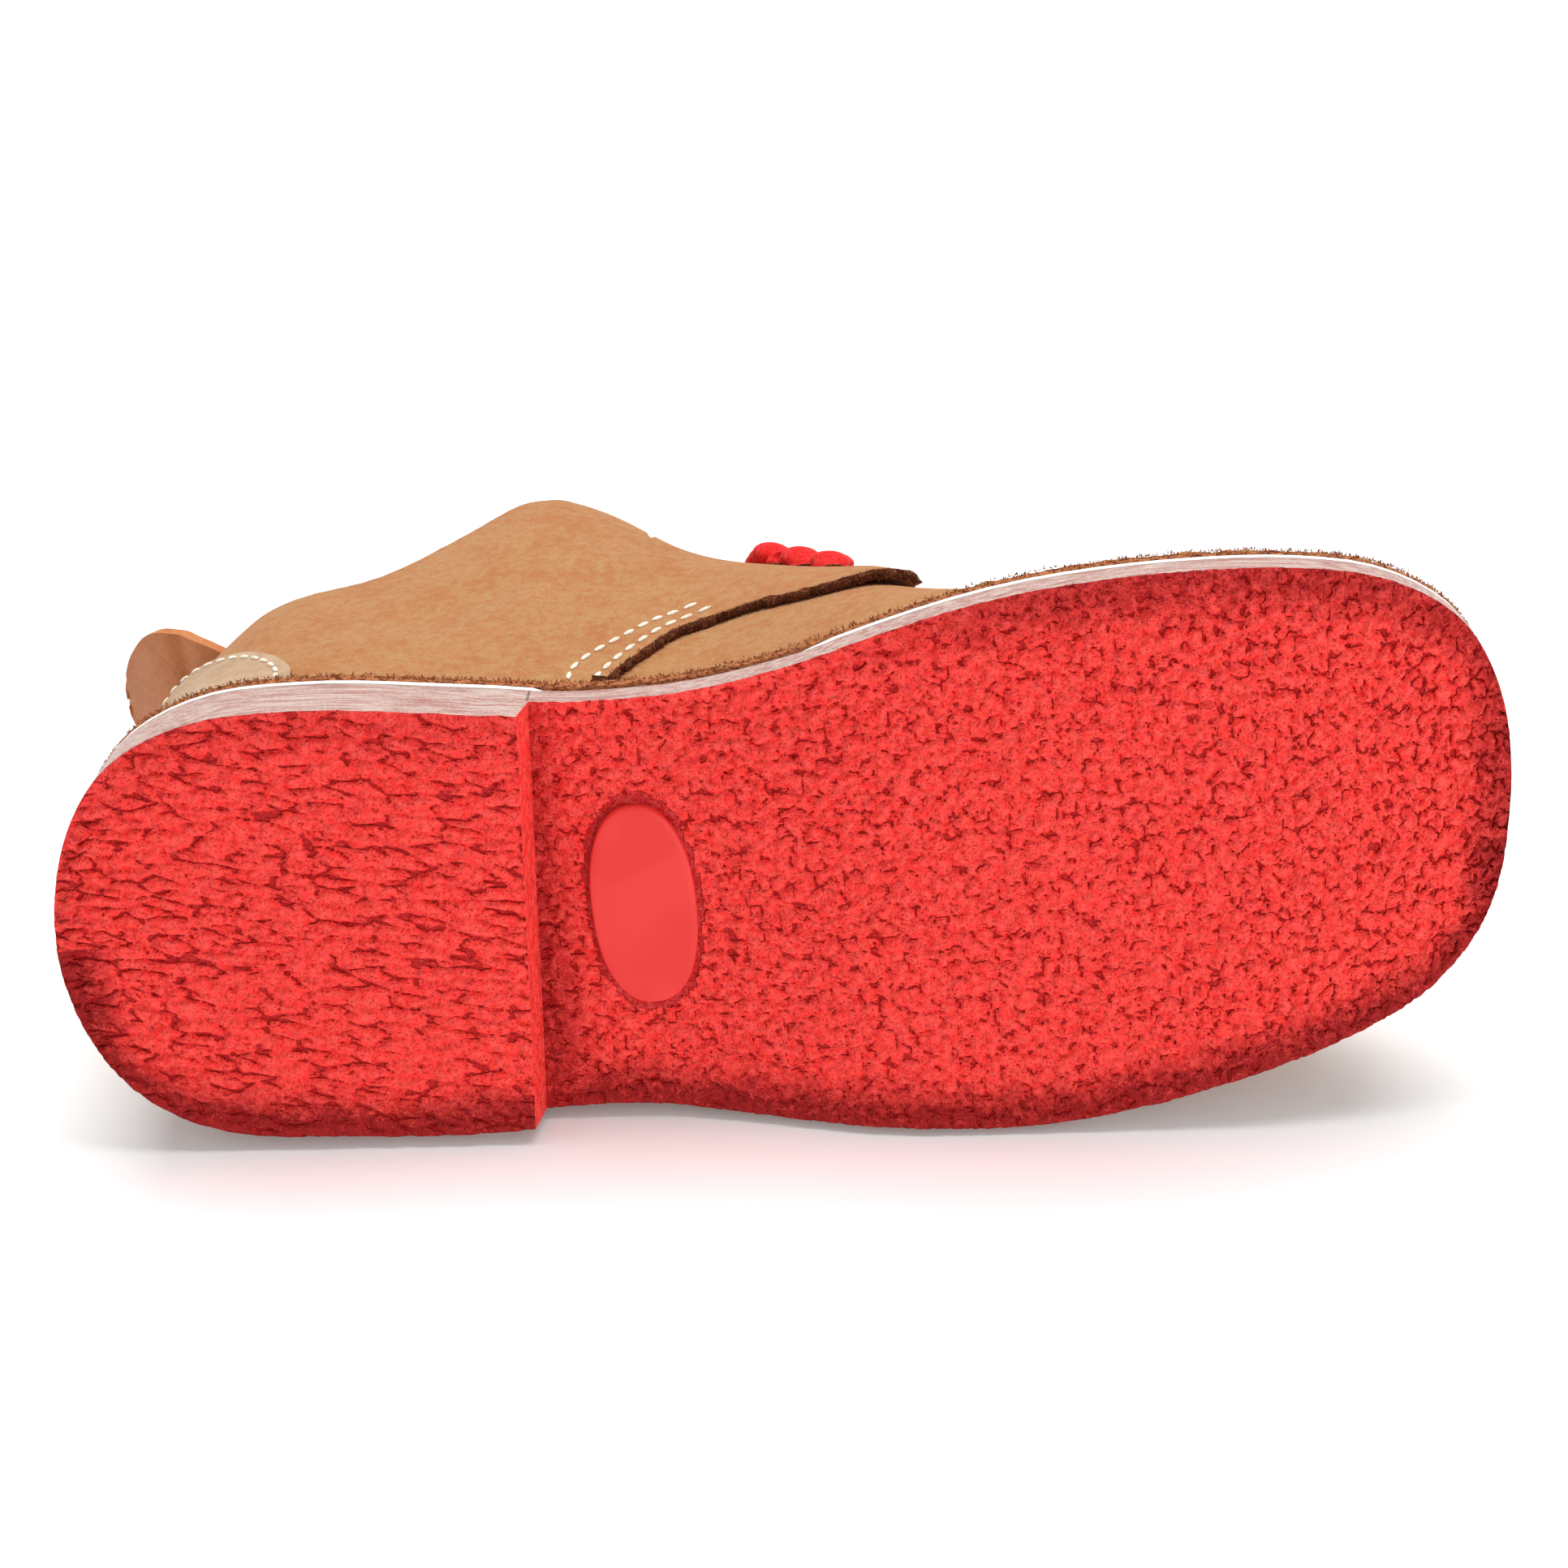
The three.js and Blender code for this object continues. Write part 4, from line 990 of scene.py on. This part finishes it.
places = []
for side in (-1, 1):
    for row in STITCH_ROWS:
        line_xz = smooth_line(np.array(row), 120)
        line = on_quarter(line_xz[:, 0], line_xz[:, 1], side)
        higher = on_quarter(line_xz[:, 0], line_xz[:, 1] + 0.5, side)
        further = on_quarter(line_xz[:, 0] + 0.5, line_xz[:, 1], side)
        faces = np.cross(further - line, higher - line) * -side
        faces = unit(faces)
        places += stitch_places(line, faces, STITCH_PITCH)
quarter_stitches = strewn("quarter_stitches", stitch, places)
FLANGE_ROW = 2.4
rim_at = outline - outline_normal * FLANGE_ROW
rim_at = np.concatenate([rim_at, rim_at[:1]])
flange_line = np.column_stack([rim_at, tread_height(rim_at[:, 0]) + FEATHER_RISE + SUEDE])
flange_stitches = strewn("flange_stitches", stitch, stitch_places(
    flange_line, np.tile((0.0, 0.0, 1.0), (len(flange_line), 1)), STITCH_PITCH))
for piece in (quarter_stitches, flange_stitches):
    smooth(piece)
    piece.data.materials.append(ivory.material)
    settle(piece)

# --- Upper: raw fibres -------------------------------------------------------------------------------
# The front edge of the quarters and the rim of the flange were cut and left raw, so that short hairs
# of the leather stand out of them.
EDGE_HAIRS = 2600
RIM_HAIRS = 5200
hair_dice = np.random.default_rng(11)
hair = small_shape(bpy.ops.mesh.primitive_cone_add, (1, 1, 1),
                   vertices=3, radius1=0.12, radius2=0.0, depth=1.0)
hair.transform(Matrix.Rotation(math.pi / 2, 4, "Y") @ Matrix.Translation((0, 0, 0.5)))


def hairs(roots, ways, inwards, depth, count, longest):
    """Places for hairs on a cut edge: anywhere over its thickness, pointing roughly outwards."""
    spots = []
    for index in hair_dice.uniform(0, len(roots) - 1.001, count):
        low, part = int(index), index % 1
        root = roots[low] * (1 - part) + roots[low + 1] * part
        root = root + inwards[low] * depth * hair_dice.uniform(0.05, 0.95)
        way = ways[low] + hair_dice.normal(0, 0.55, 3)
        length = hair_dice.uniform(0.25, 1.0) * longest
        spots.append(placed(root - ways[low] * 0.15, way, (0.3, 0.4, 0.86), length))
    return spots


spots = []
for side in (-1, 1):
    rows = quarter_rows[side][0, REAR_STATIONS:]
    ways = unit(rows - quarter_rows[side][3, REAR_STATIONS:])
    ends = rows - np.roll(rows, 1, axis=0)
    ends[0] = ends[1]
    inwards = np.cross(ways, ends) * side
    inwards /= np.linalg.norm(inwards, axis=1)[:, None] + 1e-9
    spots += hairs(rows, ways, inwards, QUARTER_SUEDE, EDGE_HAIRS // 2, 1.3)
edge_hairs = strewn("quarter_edge_hairs", hair, spots)
RIM_LOW = OUTSOLE_THICKNESS + 1.7
rim_low = np.column_stack([rim_at[:-1] + outline_normal * FLANGE_ROW, tread_height(outline[:, 0]) + RIM_LOW])
outward_3d = np.column_stack([outline_normal, np.zeros(len(outline))])
spots = hairs(rim_low, outward_3d, np.tile((0.0, 0.0, 1.0), (len(outline), 1)),
              FEATHER_RISE + SUEDE - RIM_LOW, RIM_HAIRS, 0.8)
# where the rim lies on the floor its hairs are flattened away
spots = [spot for spot in spots if (lying @ spot @ Vector((1, 0, 0))).z > 0.1 * MM]
rim_hairs = strewn("flange_hairs", hair, spots)
for piece, finish in ((edge_hairs, cut_edge), (rim_hairs, split_edge)):
    piece.data.materials.append(finish.material)
    settle(piece)

# --- Tongue ------------------------------------------------------------------------------------------
# A strap of the same suede under the lace. It is cut a little wider than the throat, sewn in at the
# vamp and free above.
TONGUE_THICKNESS = 2
TONGUE_HALF_WIDTH = 15
TONGUE_START = 71.4
TONGUE_END = THROAT_END + 12
TONGUE_RISE = 3
tongue_last = Last(-SUEDE - 0.3)
tongue_x = np.linspace(TONGUE_START, TONGUE_END, 90)
tongue_share = (tongue_x - TONGUE_START) / (TONGUE_END - TONGUE_START)
tongue_half = TONGUE_HALF_WIDTH * (1 - 0.5 * tongue_share) * np.sqrt(1 - tongue_share**8)
tongue_half *= np.sqrt(np.clip(tongue_share / 0.08, 0.25, 1))
tongue_rows = []
for step in np.linspace(-1, 1, 33):
    side = -1 if step < 0 else 1
    offset = abs(step) * tongue_half
    ridge = tongue_last.at(tongue_x, side, np.ones_like(tongue_x))[:, 1]
    up = tongue_last.solve(
        lambda up: abs(tongue_last.at(tongue_x, side, up)[:, 1] - ridge) > offset, tongue_x)
    tongue_rows.append(tongue_last.at(tongue_x, side, up))
tongue_grid = np.array(tongue_rows)
tongue_grid[..., 2] = np.minimum(tongue_grid[..., 2], COLLAR_PEAK + TONGUE_RISE)
tongue = sheet_of("tongue_suede", tongue_grid)
close_up(tongue, 0.02)
thicken(tongue, TONGUE_THICKNESS, suede, cut_edge)
settle(tongue, "tongue", slot="suede")

# --- Midsole and insole ------------------------------------------------------------------------------
# Under the runner lies a thin white foam layer, glued on the rubber. Inside, the foot stands on a
# pale felted board.
foam = Finish("white_foam", Roughness=0.55, IOR=1.45)
foam_speck = foam.noise(0.8, 3, 0.6)
foam.tones(foam_speck, 0.35, 0.7, (246, 244, 236), (254, 253, 250))
foam.bump(foam_speck, 0.08, 0.6)
felt = Finish("felted_board", Roughness=0.95, IOR=1.4)
felt_wool = felt.noise(1.2, 4, 0.7)
felt.tones(felt_wool, 0.35, 0.65, (196, 172, 138), (216, 196, 164))
felt.bump(felt_wool, 0.2, 0.8)
for node, finish in (("midsole", foam), ("insole", felt)):
    frame["nodes"][node].data.materials.clear()
    frame["nodes"][node].data.materials.append(finish.material)

# --- Runner ------------------------------------------------------------------------------------------
# A second thin layer of raw brown split leather lies on the foam, cut off flush with the sole. Only
# its frayed edge shows, all round.
RUNNER_LOW = OUTSOLE_THICKNESS + 1.6
RUNNER_HIGH = RUNNER_LOW + 0.8
RIM_STEPS = 900
rim_index = np.linspace(0, len(outline), RIM_STEPS, endpoint=False)


def rim_line(margin, rise):
    """The sole's outline moved inwards, once round, at a height above the tread."""
    at = np.arange(len(outline) + 1)
    closed = np.concatenate([outline, outline[:1]])
    ways = np.concatenate([outline_normal, outline_normal[:1]])
    x = np.interp(rim_index, at, closed[:, 0]) - np.interp(rim_index, at, ways[:, 0]) * margin
    y = np.interp(rim_index, at, closed[:, 1]) - np.interp(rim_index, at, ways[:, 1]) * margin
    return np.stack([x, y, tread_height(x) + rise], axis=1)


FRAY_SIZE = 0.9
FRAY_DEPTH = 0.35


def frayed(points, seed):
    shifts = [noise.noise_vector(Vector(point) / FRAY_SIZE + Vector((seed, 0, 0))) for point in points]
    return points + np.array(shifts) * FRAY_DEPTH


runner_rows = [
    rim_line(6, RUNNER_LOW), rim_line(1, RUNNER_LOW), frayed(rim_line(0.15, RUNNER_LOW), 2),
    frayed(rim_line(-0.05, (RUNNER_LOW + RUNNER_HIGH) / 2), 5),
    frayed(rim_line(0.1, RUNNER_HIGH), 9), rim_line(1, RUNNER_HIGH), rim_line(6, RUNNER_HIGH),
]
runner_rows.append(runner_rows[0])
runner_grid = np.array(runner_rows)
runner_grid = np.concatenate([runner_grid, runner_grid[:, :1]], axis=1)
runner = sheet_of("runner_split", runner_grid)
close_up(runner, 0.004)
smooth(runner)
runner.data.materials.append(split_edge.material)
settle(runner, "runner", slot="brown_suede")

# --- Heel counter ------------------------------------------------------------------------------------
# A half-moon of pale, smooth leather wraps the back of the heel. It is skived thin, laid over the
# quarters and sewn on along its round edge.
PATCH_THICKNESS = 1.1
PATCH_LENGTH = 37
PATCH_HEIGHT = 25
PATCH_TUCK = 1.6
PATCH_STATIONS = 70
PATCH_ROWS = 26
patch_last = Last(QUARTER_SUEDE + 0.3 + PATCH_THICKNESS)
patch_floor = float(feather(0.0)) + SUEDE + 0.3 + FLARE_RADIUS


def patch_rows(side, inset, rows):
    reach = PATCH_LENGTH - inset
    stations_share = 1 - np.cos(np.linspace(0, math.pi / 2 * 0.999, PATCH_STATIONS))
    x = patch_last.heel + (reach - patch_last.heel) * stations_share
    round_share = np.sqrt(np.clip(1 - (np.clip(x, 0, None) / reach) ** 2, 0, 1))
    high = patch_floor + (PATCH_HEIGHT - inset) * round_share
    low = patch_floor - PATCH_TUCK
    _, floor, rise = patch_last.measures(x)
    return [patch_last.at(x, side, (low + (high - patch_floor + PATCH_TUCK) * share - floor) / rise)
            for share in rows]


patch_shares = np.linspace(0, 1, PATCH_ROWS)
patch_grid = np.concatenate([
    np.array(patch_rows(-1, 0, patch_shares))[:, ::-1], np.array(patch_rows(1, 0, patch_shares)),
], axis=1)
patch = sheet_of("heel_counter_leather", patch_grid)
close_up(patch, 0.02)
PALE_DEEP = (173, 141, 110)
PALE_LIGHT = (191, 162, 133)
pale = Finish("pale_leather", Roughness=0.7, IOR=1.45, Specular_IOR_Level=0.25)
pale_cloud = pale.noise(6, 3, 0.5)
pale_pores = pale.noise(0.5, 3, 0.6, seed=1.0)
pale.tones(pale_cloud * 0.7 + pale_pores * 0.3, 0.38, 0.62, PALE_DEEP, PALE_LIGHT)
pale.bump(pale_pores, 0.08, 0.6)
thicken(patch, PATCH_THICKNESS, pale, cut_edge)
settle(patch, "heel_counter", slot="pale_suede")
PATCH_ROW = 2.2
outer_rows = []
for grow in (0.0, 0.5):
    patch_last = Last(QUARTER_SUEDE + 0.3 + PATCH_THICKNESS + grow)
    outer_rows.append(np.concatenate([
        patch_rows(-1, PATCH_ROW, [1.0])[0][:1:-1], patch_rows(1, PATCH_ROW, [1.0])[0][2:],
    ]))
patch_line = smooth_line(outer_rows[0], 400)
patch_faces = smooth_line(outer_rows[1], 400) - patch_line
patch_faces = unit(patch_faces)
patch_stitches = strewn("counter_stitches", stitch, stitch_places(patch_line, patch_faces, 2.9, 0.85))
smooth(patch_stitches)
patch_stitches.data.materials.append(ivory.material)
settle(patch_stitches)

# --- Pull tab ----------------------------------------------------------------------------------------
# A strap of smooth brown leather folded over and sewn in at the back of the collar, standing out
# behind the heel as a round ear.
TAB_LEATHER = 1.0
TAB_LINE = np.array([(-16, 59.5), (-9, 61.5), (-3, 64.5), (2.4, 69.0), (6.4, 72.9)])
TAB_EAR = np.array([
    (0.0, -22.8, 8.0), (0.15, -24.6, 8.0), (0.28, -25.5, 8.0), (0.45, -25.9, 6.5), (0.56, -25.0, 5.0),
    (0.71, -22.1, 2.0), (0.865, -17.9, -2.0), (0.96, -13.9, -5.8), (1.0, -10.8, -8.8),
])
TAB_KINK = 0.29
TAB_ROWS = 60
TAB_COLUMNS = 41
tab_middle = smooth_line(TAB_LINE, TAB_ROWS)
tab_share = np.linspace(0, 1, TAB_ROWS)
tab_inner = through(TAB_EAR[:, 0], TAB_EAR[:, 1], tab_share)
tab_outer = through(TAB_EAR[:, 0], TAB_EAR[:, 2], tab_share)
tab_across = np.linspace(0, 1, TAB_COLUMNS)
tab_layers = []
for lift in (1, -1):
    grid = np.zeros((TAB_ROWS, TAB_COLUMNS, 3))
    grid[..., 0] = -tab_middle[:, 0][:, None]
    grid[..., 1] = tab_inner[:, None] + (tab_outer - tab_inner)[:, None] * tab_across[None, :]
    arch = 4 * tab_across * (1 - tab_across)
    kink = 0.9 * np.exp(-(((tab_share - TAB_KINK) / 0.07) ** 2))
    grid[..., 2] = tab_middle[:, 1][:, None] + 1.2 * arch[None, :] * tab_share[:, None] + kink[:, None]
    slope = unit(np.gradient(tab_middle, axis=0))
    part = lift * TAB_LEATHER * 0.5 * np.sqrt(np.clip(1 - tab_share**12, 0, 1))
    grid[..., 0] += (slope[:, 1] * part)[:, None]
    grid[..., 2] += (slope[:, 0] * part)[:, None]
    tab_layers.append(grid)
tab_grid = np.concatenate([tab_layers[0], tab_layers[1][::-1]])
tab = sheet_of("pull_tab_leather", tab_grid)
close_up(tab, 0.01)
modifier(tab, "SOLIDIFY", thickness=TAB_LEATHER * 0.98, offset=0, use_rim=True, use_even_offset=False)
modifier(tab, "BEVEL", width=0.25, segments=2, limit_method="ANGLE")
smooth(tab)
CALF_DEEP = (182, 108, 60)
CALF_LIGHT = (202, 128, 78)
calf = Finish("smooth_brown_leather", Roughness=0.5, IOR=1.48, Specular_IOR_Level=0.3)
calf_cloud = calf.noise(7, 3, 0.5)
calf_grain = calf.noise(0.7, 4, 0.6, seed=2.0)
calf.tones(calf_cloud * 0.6 + calf_grain * 0.4, 0.36, 0.64, CALF_DEEP, CALF_LIGHT)
calf.bump(calf_grain, 0.07, 0.6)
tab.data.materials.append(calf.material)
settle(tab, "pull_tab", slot="smooth_leather")

# --- Lace --------------------------------------------------------------------------------------------
# One red twisted cord, pulled through three pairs of punched holes, with a bar over each pair. Its
# two ends stop behind the top pair of holes.
LACE_BREADTH = 7.2
LACE_THICKNESS = 3.7
LACE_STAND_OFF = 2.75
LACE_LEAN = 4.4
LACE_BACK = 4.2
EYELET_PITCH = 4.9
EYELET_UP = 0.9
LACE_FIRST_X = 117
LACE_INSIDE = -2.4
LACE_SIDES = 24
LACE_TURN = 7.5
lace_x = [LACE_FIRST_X - LACE_BACK - EYELET_PITCH * row for row in range(3)]


def hole_height(x):
    """The holes lie a little lower towards the toe, as a share of the arch's rise."""
    return EYELET_UP - 0.0045 * (x - lace_x[-1])


def lace_bar(x, way):
    """Points of a bar from one hole to the other, leaning over the one in front of it."""
    stand_off = LACE_STAND_OFF + 0.13 * (LACE_FIRST_X - x)
    route = []
    for side in (-way, way):
        hole_up = hole_height(x)
        shares = [-0.28, -0.16, 0.0, 0.25, 0.5, 0.75, 1.0]
        grows = [LACE_INSIDE, 1.6] + [stand_off] * 5
        branch = []
        for share, grow in zip(shares, grows):
            up = hole_up + (1 - hole_up) * share
            lean = -side * LACE_LEAN * (1 - max(share, 0))
            point = Last(grow).at(np.float64(x + lean), side, np.float64(up))
            branch.append((point, 1.0 if grow > 2 else 0.55))
        route += branch if side == -way else branch[::-1][1:]
    return route


def lace_inside(x, side, deeper):
    """A point of the cord behind a hole."""
    up = hole_height(x)
    up -= 0.32 * (1 - up)
    lean = -side * LACE_LEAN
    return [(Last(LACE_INSIDE - deeper).at(np.float64(x + lean), side, np.float64(up)), 0.5)]


route = lace_inside(lace_x[2] + 1, 1, 0.3) + lace_bar(lace_x[1], -1)
route += lace_inside((lace_x[0] + lace_x[1]) / 2, -1, 0) + lace_bar(lace_x[0], 1)
route += lace_inside(lace_x[1], 1, 0) + lace_bar(lace_x[2], -1) + lace_inside(lace_x[2] + 2, -1, 0.3)
lace_points = np.array([point for point, size in route])
lace_sizes = np.array([size for point, size in route])
LACE_STEPS = 620
run = run_of(lace_points)
at = np.linspace(0, run[-1], LACE_STEPS)
lace_path = np.stack([through(run, lace_points[:, axis], at) for axis in range(3)], axis=1)
lace_size = np.interp(at, run, lace_sizes)
tangent = unit(np.gradient(lace_path, axis=0))
vamp_ridge = vamp_last.at(lace_path[:, 0], -1, np.ones(LACE_STEPS))
outward = lace_path - np.stack([lace_path[:, 0], vamp_ridge[:, 1], vamp_ridge[:, 2] * 0.45], axis=1)
outward -= tangent * (outward * tangent).sum(axis=1)[:, None]
outward = unit(outward)
beside = np.cross(tangent, outward)
turn_angle = 2 * math.pi * at / LACE_TURN
angles = np.linspace(0, 2 * math.pi, LACE_SIDES + 1)
lobes = 1 + 0.07 * np.cos(3 * (angles[None, :] - turn_angle[:, None]))
across = (np.cos(angles) * lobes * LACE_BREADTH / 2 * 0.94)[..., None] * lace_size[:, None, None]
proud = (np.sin(angles) * lobes * LACE_THICKNESS / 2 * 0.98)[..., None] * lace_size[:, None, None]
lace_grid = lace_path[:, None] + beside[:, None] * across + outward[:, None] * proud
lace = sheet_of("lace_cord", lace_grid)
close_up(lace, 0.002)
smooth(lace)
CORD_DEEP = (214, 22, 26)
CORD_BRIGHT = (252, 52, 50)
cord_red = Finish("red_cotton_cord", Roughness=0.9, IOR=1.4, Specular_IOR_Level=0.2, Sheen_Weight=0.15)
yarn = cord_red.noise(0.45, 4, 0.7)
cord_red.tones(yarn, 0.35, 0.65, CORD_DEEP, CORD_BRIGHT)
cord_red.bump(yarn, 0.25, 1.0)
lace.data.materials.append(cord_red.material)
settle(lace, "lace_bar_1", "lace_bar_2", "lace_bar_3", slot="lace")
# each hole is punched through the quarter, and its cut rim has darkened
HOLE_RADIUS = 2.1
hole_rim = small_shape(bpy.ops.mesh.primitive_torus_add, (1, 1, 0.6), major_segments=24, minor_segments=6,
                       major_radius=HOLE_RADIUS, minor_radius=0.3)
places = []
for x in lace_x:
    for side in (-1, 1):
        up = hole_height(x)
        up = np.float64(up - 0.16 * (1 - up))
        spot = np.float64(x - side * LACE_LEAN)
        point = quarter_last.at(spot, side, up)
        out = Last(QUARTER_SUEDE + 1).at(spot, side, up) - point
        places.append(placed(point, (1, 0, 0), out))
hole_rims = strewn("lace_hole_rims", hole_rim, places)
smooth(hole_rims)
hole_rims.data.materials.append(cut_edge.material)
settle(hole_rims)

# --- Floor and light ---------------------------------------------------------------------------------
# A white sweep and two large soft lamps, as in a small product studio: one hangs above the shoe, and a
# weaker one stands low in front of the toe.
FLOOR_SIZE = 6
rest_select()
bpy.ops.mesh.primitive_plane_add(size=FLOOR_SIZE)
floor = bpy.context.object
floor.name = "floor"
paper = Finish("white_paper", Roughness=0.9)
paper.set(Base_Color=paper.mix(paper.noise(40, 2), (250, 250, 250), (253, 253, 253)))
floor.data.materials.append(paper.material)
bpy.context.scene.view_settings.view_transform = "Standard"
world = bpy.data.worlds.new("studio")
bpy.context.scene.world = world
world.use_nodes = True
world.node_tree.nodes["Background"].inputs[0].default_value = (1, 1, 1, 1)
world.node_tree.nodes["Background"].inputs[1].default_value = 0.5


def lamp(name, place, aim_at, size, power):
    data = bpy.data.lights.new(name, "AREA")
    data.shape = "RECTANGLE"
    data.size, data.size_y = size
    data.energy = power
    made = bpy.data.objects.new(name, data)
    bpy.context.scene.collection.objects.link(made)
    made.location = place
    made.rotation_euler = (Vector(aim_at) - Vector(place)).to_track_quat("-Z", "Y").to_euler()


lamp("above", (0.05, 0.25, 1.2), (0, -0.1, 0), (1.4, 0.6), 17)
lamp("front", (0.5, -0.9, 0.14), (0, 0, 0.04), (0.6, 0.25), 4.6)
